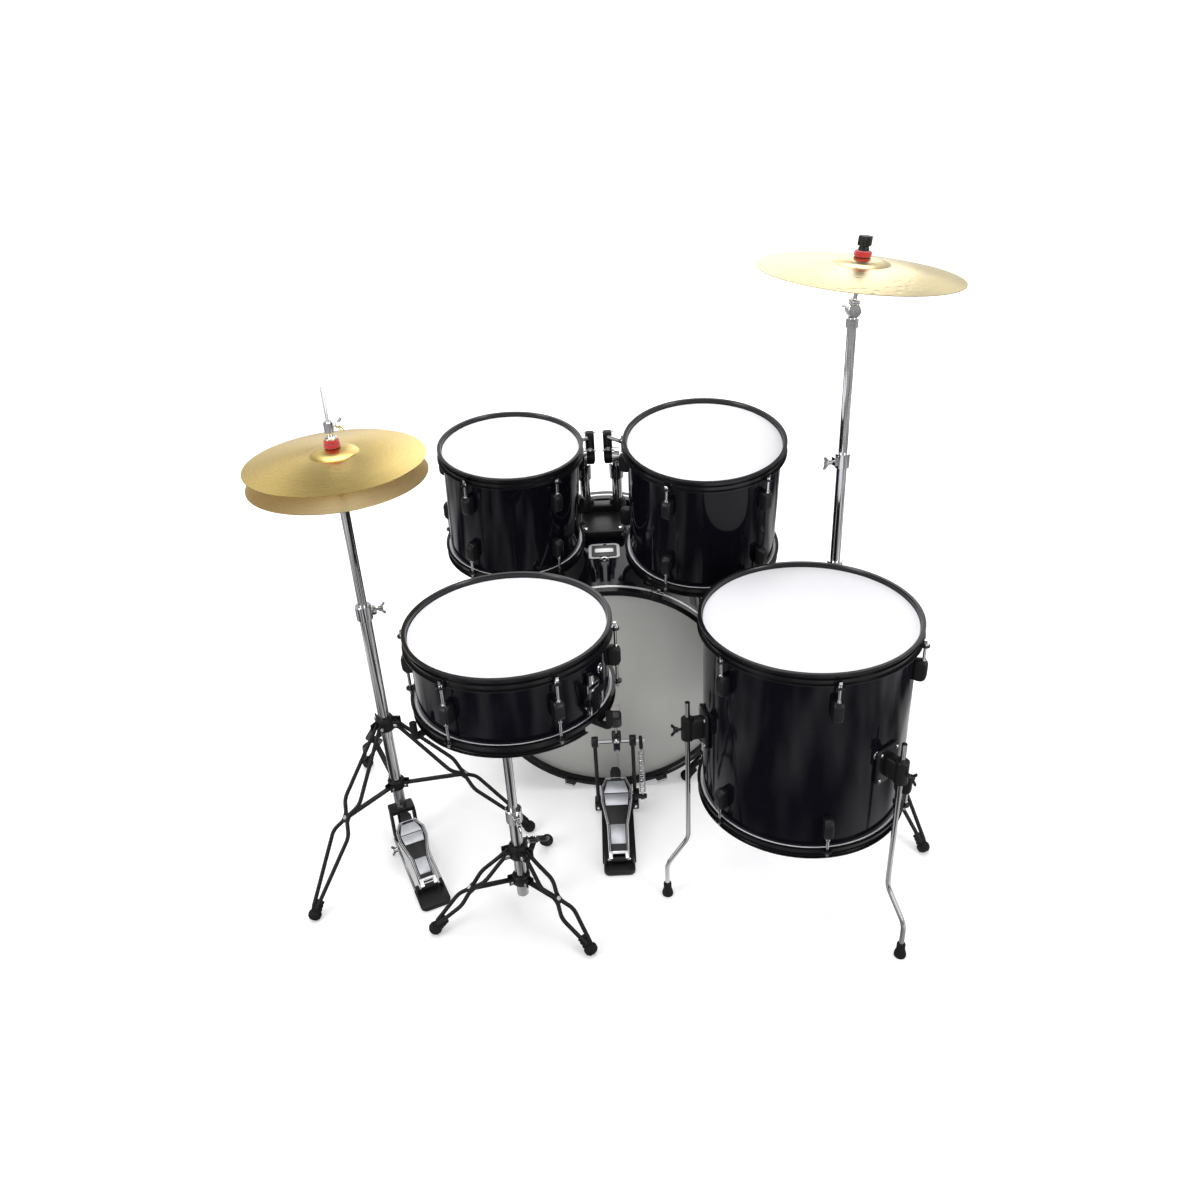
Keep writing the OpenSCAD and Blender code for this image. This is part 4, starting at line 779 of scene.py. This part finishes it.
HAT_RIM = 935
HAT_GAP = 34
HAT_WALL = 1.3
HAT_DOME = 16 + 0.8 * 14
HAT_PROFILE = cymbal_profile(355.6, 16, 100, 14, HAT_WALL)
cymbal("hat_bottom", at(*HAT, HAT_RIM) @ turn(180, "X"), HAT_PROFILE, HATS, "hihat_tube",
       "hihat_bottom_cymbal", "hat_bronze")
cymbal("hat_top", at(*HAT, HAT_RIM + HAT_GAP), HAT_PROFILE, HATS, "hihat_rod",
       "hihat_top_cymbal", "hat_bronze")
CRASH_PIVOT = at(*CRASH_AT, 1170)
CRASH_TILT = 6
CRASH_RIM = 72
CRASH_STEM = CRASH_RIM + 18 + 0.8 * 14
CRASH_FRAME = CRASH_PIVOT @ turn(CRASH_TILT, "Y")
cymbal("crash_bow", CRASH_FRAME @ at(0, 0, CRASH_RIM), cymbal_profile(406.4, 18, 115, 14, 1.2), CRASH,
       "crash_cymbal", "crash_cymbal", "crash_bronze")


def felt(piece, m, r, z0, z1):
    piece.lathe([(r - 2, z0), (r, z0 + 1.6), (r, z1 - 1.6), (r - 2, z1)], m, 40)


def crash_tilter():
    m = CRASH_PIVOT
    chrome, red, knob = Piece(), Piece(), Piece()
    upright = turn(90, "X")
    for s in (-1, 1):
        chrome.lathe([(12, -4.4), (13.5, -3), (13.5, 3), (12, 4.4)], m @ at(0, s * 10.8, 0) @ upright, 36)
        for k in range(16):
            tooth = m @ at(0, s * 6.8, 0) @ upright @ turn(22.5 * k) @ at(0, 11, 0)
            chrome.box(1.8, 4, 1.2, (0, 0, 0), tooth, 0.5, 0.3)
    chrome.rod(m @ Vector((0, -18, 0)), m @ Vector((0, 18, 0)), 4)
    chrome.wing_bolt(m @ at(0, 15, 0) @ turn(-90, "X"), 8)
    chrome.box(16, 30, 8, (0, 0, 17), CRASH_FRAME, 3, 2)
    for s in (-1, 1):
        chrome.box(12, 5, 16, (0, s * 11.2, 9), CRASH_FRAME, 2, 1)
    chrome.rod(CRASH_FRAME @ Vector((0, 0, 17)), CRASH_FRAME @ Vector((0, 0, CRASH_STEM + 24)), 4)
    chrome.lathe([(9, -17), (14, -16), (15, -14.6), (15, -12.4)], CRASH_FRAME @ at(0, 0, CRASH_STEM), 32)
    felt(red, CRASH_FRAME, 17, CRASH_STEM - 12.1, CRASH_STEM - 1.1)
    felt(red, CRASH_FRAME, 17, CRASH_STEM + 1.8, CRASH_STEM + 12.6)
    knob.lathe([(9, 12.8), (10.5, 13.5), (10.5, 18), (9, 20), (9, 22)],
               CRASH_FRAME @ at(0, 0, CRASH_STEM), 32)
    lobes = []
    for k in range(48):
        a = 7.5 * k
        lobes.append(((12.8 + 1.2 * cos(6 * a)) * cos(a), (12.8 + 1.2 * cos(6 * a)) * sin(a)))
    knob.plate(lobes, 19, CRASH_FRAME @ at(0, 0, CRASH_STEM + 21.5), 2.5, 4)
    chrome.done("crash_tilter_metal", CHROME, "crash_tilter", ["crash_tilter"], "chrome_part")
    red.done("crash_felts", RED, "crash_tilter", slot="chrome_part")
    knob.done("crash_knob", CAST, "crash_tilter", slot="black_casting")


crash_tilter()


def hat_clutch():
    m = at(*HAT, 0)
    top = HAT_RIM + HAT_GAP + HAT_DOME
    chrome, red = Piece(m), Piece(m)
    chrome.lathe([(2.4, 70), (3, 71), (3, 1119), (2.2, 1121)], n=20)
    chrome.lathe([(5.6, top - 14), (6, top - 13), (6, top + 44)], n=24)
    chrome.lathe([(12, top - 15), (14, top - 14), (14, top - 8), (12, top - 7)], n=6)
    chrome.lathe([(9, top + 18), (12.5, top + 18.6), (12.5, top + 22), (10, top + 24), (9, top + 24)], n=32)
    chrome.lathe([(7.5, top + 31), (9.4, top + 32), (9.4, top + 52), (7.5, top + 54)], n=32)
    chrome.wing_bolt(turn(30) @ at(8, 0, top + 43) @ turn(90, "Y"), 5)
    felt(red, Matrix(), 13.6, top - 6.8, top - 1.6)
    felt(red, Matrix(), 16, top + 1.8, top + 9.6)
    felt(red, Matrix(), 15, top + 10.2, top + 17.6)
    chrome.done("hat_rod_clutch", CHROME, "hihat_rod", ["hihat_rod"], "chrome_part")
    red.done("hat_felts", RED, "hihat_rod", slot="chrome_part")


hat_clutch()


# ---- pedals ----
def board(name, body, node, m, length, toe_w, heel_w, up):
    """Footboard from its heel pin: black board, silver outline, panels and heel piece."""
    b = m @ turn(up, "X")
    black, silver, panels = Piece(b), Piece(b), Piece(b)
    t, h = toe_w / 2, heel_w / 2

    def outline(inset):
        right = [(h - inset, 10 + inset), (h - inset, length * 0.18), (h - inset + 1, length * 0.36),
                 (t - inset, length * 0.62), (t - inset, length * 0.76),
                 (t - 13 - inset * 0.5, length * 0.88 - inset)]
        return right + [(-x, y) for x, y in reversed(right)]

    black.plate(outline(0), 5.6, at(0, 0, -0.6), 1.2, 2)
    black.plate([(-13, length * 0.84), (13, length * 0.84), (13, length * 0.95), (8, length), (-8, length),
                 (-13, length * 0.95)], 7, at(0, 0, -0.6), 1.5, 3)
    black.lathe([(5, -19), (6.4, -18), (6.4, 18), (5, 19)], turn(90, "Y"), 24)
    silver.ring([(x, y, 5.2) for x, y in outline(2.2)], 1.5)
    silver.ring([(x, y, 5.0) for x, y in outline(5.6)], 0.7)
    for s in (-1, 1):
        silver.box(9, 20, 3, (s * (h - 6), 8, 5.6), r=1.5, bevel=0.8)
    silver.box(2 * h - 12, 5, 2.4, (0, 16, 5.4), r=1.5, bevel=0.7)
    edge = 8.5
    rows = ((0.70, 0.835, t, t - 9), (0.565, 0.69, t - 3.5, t), (0.15, 0.355, h, h + 1))
    for y0, y1, w0, w1 in rows:
        a, c = w0 - edge, w1 - edge
        panels.plate([(-a, length * y0), (a, length * y0), (c, length * y1), (-c, length * y1)], 1.6,
                     at(0, 0, 4.6), 0.4, 2)
    black.done(name + "_board", CAST, body, [node], "pedal_black")
    silver.done(name + "_trim", SATIN, body, slot="chrome_part")
    panels.done(name + "_panels", PANEL, body, slot="chrome_part")


KICK_HEEL = (0, -272, 20)
KICK_AXLE = Vector((0, -72, 204))
KICK_BOARD_UP = 18.4
HAT_BOARD_UP = 20
POST_X = 45
BEATER_X = 7
BEATER_Z = 128
BEATER_LEAN = 26.7
HAT_HEEL = (0, -212, 20)
HAT_PEDAL = at(*HAT, 0) @ turn(24)
board("kick", "kick_footboard", "kick_footboard", at(*KICK_HEEL), 244, 76, 50, KICK_BOARD_UP)
board("hat_pedal", "hihat_footboard", "hihat_footboard", HAT_PEDAL @ at(*HAT_HEEL), 196, 68, 42,
      HAT_BOARD_UP)


def heel_plate(piece, m, w, l):
    outline = arc(-w / 2 + 14, -l / 2 + 14, 14, 180, 270, 6) + arc(w / 2 - 14, -l / 2 + 14, 14, 270, 360, 6)
    piece.plate(outline + [(w / 2, l / 2), (-w / 2, l / 2)], 12, m, 3, 3)


def hat_pedal_frame():
    black, chrome = Piece(HAT_PEDAL), Piece(HAT_PEDAL)
    heel_plate(black, at(0, HAT_HEEL[1] - 22, 0), 68, 66)
    for s in (-1, 1):
        black.plate([(-17, 0), (17, 0), (15, 76), (8, 86), (-8, 86), (-15, 76)], 5,
                    at(s * 27 - 2.5, -6, 0) @ turn(90, "Z") @ turn(90, "X"), 1, 2)
        black.box(8, 16, 24, (s * 27, HAT_HEEL[1], 14), r=3, bevel=2)
        chrome.rod((s * 31, -12, 8), (s * 31, HAT_HEEL[1], 6), 3)
    black.box(59, 34, 12, (0, 0, 84), r=5, bevel=2)
    chrome.rod((-31, HAT_HEEL[1], 20), (31, HAT_HEEL[1], 20), 3)
    chrome.wing_bolt(at(-30, -62, 17) @ turn(-90, "Y"), 4)
    black.done("hat_pedal_frame", CAST, "kit_base", slot="leg_black")
    chrome.done("hat_pedal_rods", CHROME, "kit_base", slot="chrome_part")


hat_pedal_frame()


def kick_frame():
    black, chrome = Piece(), Piece()
    black.plate(rounded(78, 290, 8), 4, at(0, -123, 0), 0.8, 2)
    heel_plate(black, at(0, -282, 0), 72, 44)
    for s in (-1, 1):
        black.box(8, 16, 24, (s * 30, KICK_HEEL[1], 16), r=3, bevel=2)
        post = [(-12, 4), (12, 4), (9, 110), (8, 194), (-8, 194), (-9, 110)]
        black.plate(post, 9, at(s * POST_X - 4.5, KICK_AXLE.y, 0) @ turn(90, "Z") @ turn(90, "X"), 2, 3)
        black.lathe([(12, -8), (13.5, -6), (13.5, 6), (12, 8)],
                    at(s * POST_X, KICK_AXLE.y, KICK_AXLE.z) @ turn(90, "Y"), 32)
        black.box(18, 34, 22, (s * POST_X, KICK_AXLE.y, 15), r=4, bevel=3)
        chrome.lathe([(4, 0), (4, 2.5), (2, 3.5)], at(s * POST_X, KICK_AXLE.y - 17, 16) @ turn(90, "X"), 14)
    chrome.rod((-34, KICK_HEEL[1], 20), (34, KICK_HEEL[1], 20), 3)
    black.box(96, 26, 8, (0, KICK_AXLE.y + 4, 6), r=4, bevel=2)
    black.box(34, 10, 10, (POST_X + 12, KICK_AXLE.y - 24, 52), r=3, bevel=2)
    black.box(12, 26, 12, (POST_X + 5, KICK_AXLE.y - 12, 52), r=3, bevel=2)
    black.box(42, 14, 22, (0, -12, 15), r=4, bevel=3)
    black.box(62, 32, 1.6, (0, 8, 4.8), r=4, bevel=0.5)
    chrome.wing_bolt(at(30, -20, 14) @ turn(90, "X"), 4)
    x, y = POST_X + 19, KICK_AXLE.y - 24
    chrome.rod((x, y, 40), (x, y, 64), 2.6)
    chrome.lathe([(5, 42), (5, 46)], at(x, y, 0), 6)
    black.done("kick_stand", CAST, "kit_base", ["kick_frame"], "leg_black")
    chrome.done("kick_bolts", CHROME, "kit_base", slot="chrome_part")
    # coil spring between the anchor and the rocker
    turns = 17
    steps = 12 * turns
    low, high, coil_r = 64, 190, 6.4
    coil = [(x + coil_r * cos(30 * k), y + coil_r * sin(30 * k), low + (high - low) * k / steps)
            for k in range(steps + 1)]
    spring = Piece()
    spring.tube(coil, 1.2, 0.5, 8)
    piece = spring.done("kick_coil", SATIN, None, ["kick_spring"], "spring_steel")
    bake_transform(piece)


kick_frame()


def kick_chain():
    chain = Piece()
    x, y, low, pitch = BEATER_X, KICK_AXLE.y + 27.5, 98, 6.4
    link = [(2.1 * cos(a), 0, 4.4 * sin(a)) for a in range(0, 360, 30)]
    for k in range(15):
        m = at(x, y, low + pitch * k) @ turn(90 * (k % 2))
        chain.ring([m @ Vector(p) for p in link], 0.9, 6)
    chain.done("kick_chain_links", SATIN, "kick_footboard", slot="chrome_part")


kick_chain()


def kick_beater():
    m = at(*KICK_AXLE)
    lean = m @ turn(BEATER_LEAN, "X")
    black, chrome, pad = Piece(), Piece(), Piece()
    chrome.rod(m @ Vector((-POST_X - 10, 0, 0)), m @ Vector((POST_X + 30, 0, 0)), 4.9, 1, 6)
    black.lathe([(20, -8), (24, -7), (24, -4), (21, -3), (21, 3), (24, 4), (24, 7), (20, 8)],
                m @ at(BEATER_X, 0, 0) @ turn(90, "Y"), 40)
    black.box(22, 20, 30, (BEATER_X, 0, 24), lean, 4, 3)
    chrome.lathe([(7, 0), (7, 6), (4, 8)], lean @ at(BEATER_X, -10, 26) @ turn(90, "X"), 20)
    chrome.rod(lean @ Vector((BEATER_X, 0, 8)), lean @ Vector((BEATER_X, 0, 134)), 4)
    black.box(28, 24, 46, (BEATER_X, -7, BEATER_Z), lean, 8, 5)
    pad.box(30, 18, 48, (BEATER_X, 11, BEATER_Z), lean, 7, 6)
    black.box(9, 42, 11, (POST_X + 19, -10, 0), m, 3, 2)
    black.done("beater_body", CAST, "kick_beater", ["kick_beater"], "black_casting")
    chrome.done("beater_metal", CHROME, "kick_beater", slot="chrome_part")
    pad.done("beater_felt", FELT, "kick_beater", slot="beater_mixed")


kick_beater()


# ---- studio ----
def floor_material():
    """White card that glows more with the distance. Polished metal mirrors it as a patchy, darker room."""
    mat, tree, shader = new_material("floor_white", (0.93, 0.93, 0.93), 0.9)
    shader.inputs["Emission Color"].default_value = (1, 1, 1, 1)
    coord = tree.nodes.new("ShaderNodeTexCoord")
    reach = tree.nodes.new("ShaderNodeVectorMath")
    reach.operation = "LENGTH"
    tree.links.new(coord.outputs["Object"], reach.inputs[0])
    glow = spread(tree, reach.outputs["Value"], 0.25, 1.0)
    glow.node.inputs["From Min"].default_value = 1.0
    glow.node.inputs["From Max"].default_value = 5.0
    tree.links.new(glow, shader.inputs["Emission Strength"])
    room = tree.nodes.new("ShaderNodeEmission")
    patches = spread(tree, noise(tree, 1.7, 2.0), -1.6, 2.4)
    tree.links.new(tint(tree, patches, (0.03, 0.03, 0.035), (0.95, 0.95, 0.95)), room.inputs["Color"])
    path = tree.nodes.new("ShaderNodeLightPath")
    mix = tree.nodes.new("ShaderNodeMixShader")
    tree.links.new(path.outputs["Is Glossy Ray"], mix.inputs["Fac"])
    tree.links.new(shader.outputs["BSDF"], mix.inputs[1])
    tree.links.new(room.outputs["Emission"], mix.inputs[2])
    tree.links.new(mix.outputs["Shader"], tree.nodes["Material Output"].inputs["Surface"])
    return mat


def studio():
    bpy.ops.mesh.primitive_plane_add(size=60, location=(0, 0, -0.0002))
    floor = bpy.context.object
    floor.name = "studio_floor"
    floor.data.materials.append(floor_material())
    world = bpy.data.worlds.new("studio")
    bpy.context.scene.world = world
    world.use_nodes = True
    tree = world.node_tree
    # white round the horizon, greyer overhead, so that polished metal has something dark to mirror
    coord = tree.nodes.new("ShaderNodeTexCoord")
    split = tree.nodes.new("ShaderNodeSeparateXYZ")
    ramp = tree.nodes.new("ShaderNodeValToRGB")
    tree.links.new(coord.outputs["Generated"], split.inputs["Vector"])
    tree.links.new(split.outputs["Z"], ramp.inputs["Fac"])
    ramp.color_ramp.elements[0].position = 0.20
    ramp.color_ramp.elements[0].color = (1, 1, 1, 1)
    ramp.color_ramp.elements[1].position = 0.60
    ramp.color_ramp.elements[1].color = (0.30, 0.30, 0.31, 1)
    tree.links.new(ramp.outputs["Color"], tree.nodes["Background"].inputs["Color"])
    tree.nodes["Background"].inputs["Strength"].default_value = 1.05
    # name, place and size in metres, power in watts
    lamps = (("window_left", (-3.2, -2.4, 2.4), (1.2, 2.4), 52),
             ("window_right", (3.0, -2.8, 2.2), (1.0, 2.2), 46),
             ("ceiling", (0, 0.2, 4.6), (4.0, 4.0), 170),
             ("back", (0.6, 3.6, 2.6), (3.0, 1.8), 26))
    target = Vector((0, 0, 0.6))
    for name, place, size, power in lamps:
        data = bpy.data.lights.new(name, "AREA")
        data.shape = "RECTANGLE"
        data.size, data.size_y = size
        data.energy = power
        lamp = bpy.data.objects.new(name, data)
        lamp.location = place
        lamp.rotation_euler = (target - Vector(place)).to_track_quat("-Z", "Y").to_euler()
        bpy.context.scene.collection.objects.link(lamp)
    bpy.context.scene.view_settings.view_transform = "Standard"


def camera():
    pitch, yaw, roll = 28.8205, -0.7915, -3.2811
    ahead = Vector((sin(yaw) * cos(pitch), cos(yaw) * cos(pitch), -sin(pitch)))
    right = Vector((cos(yaw), -sin(yaw), 0))
    above = right.cross(ahead)
    rolled_right = right * cos(roll) + above * sin(roll)
    rolled_up = above * cos(roll) - right * sin(roll)
    m = Matrix((rolled_right, rolled_up, -ahead)).transposed().to_4x4()
    m.translation = Vector((0.0148, -1.9601, 1.6660))
    data = bpy.data.cameras.new("camera")
    data.sensor_width = 36
    data.lens = 29.757
    data.shift_y = -0.01183
    data.clip_end = 100
    obj = bpy.data.objects.new("camera", data)
    bpy.context.scene.collection.objects.link(obj)
    obj.matrix_world = m
    bpy.context.scene.camera = obj


studio()
camera()
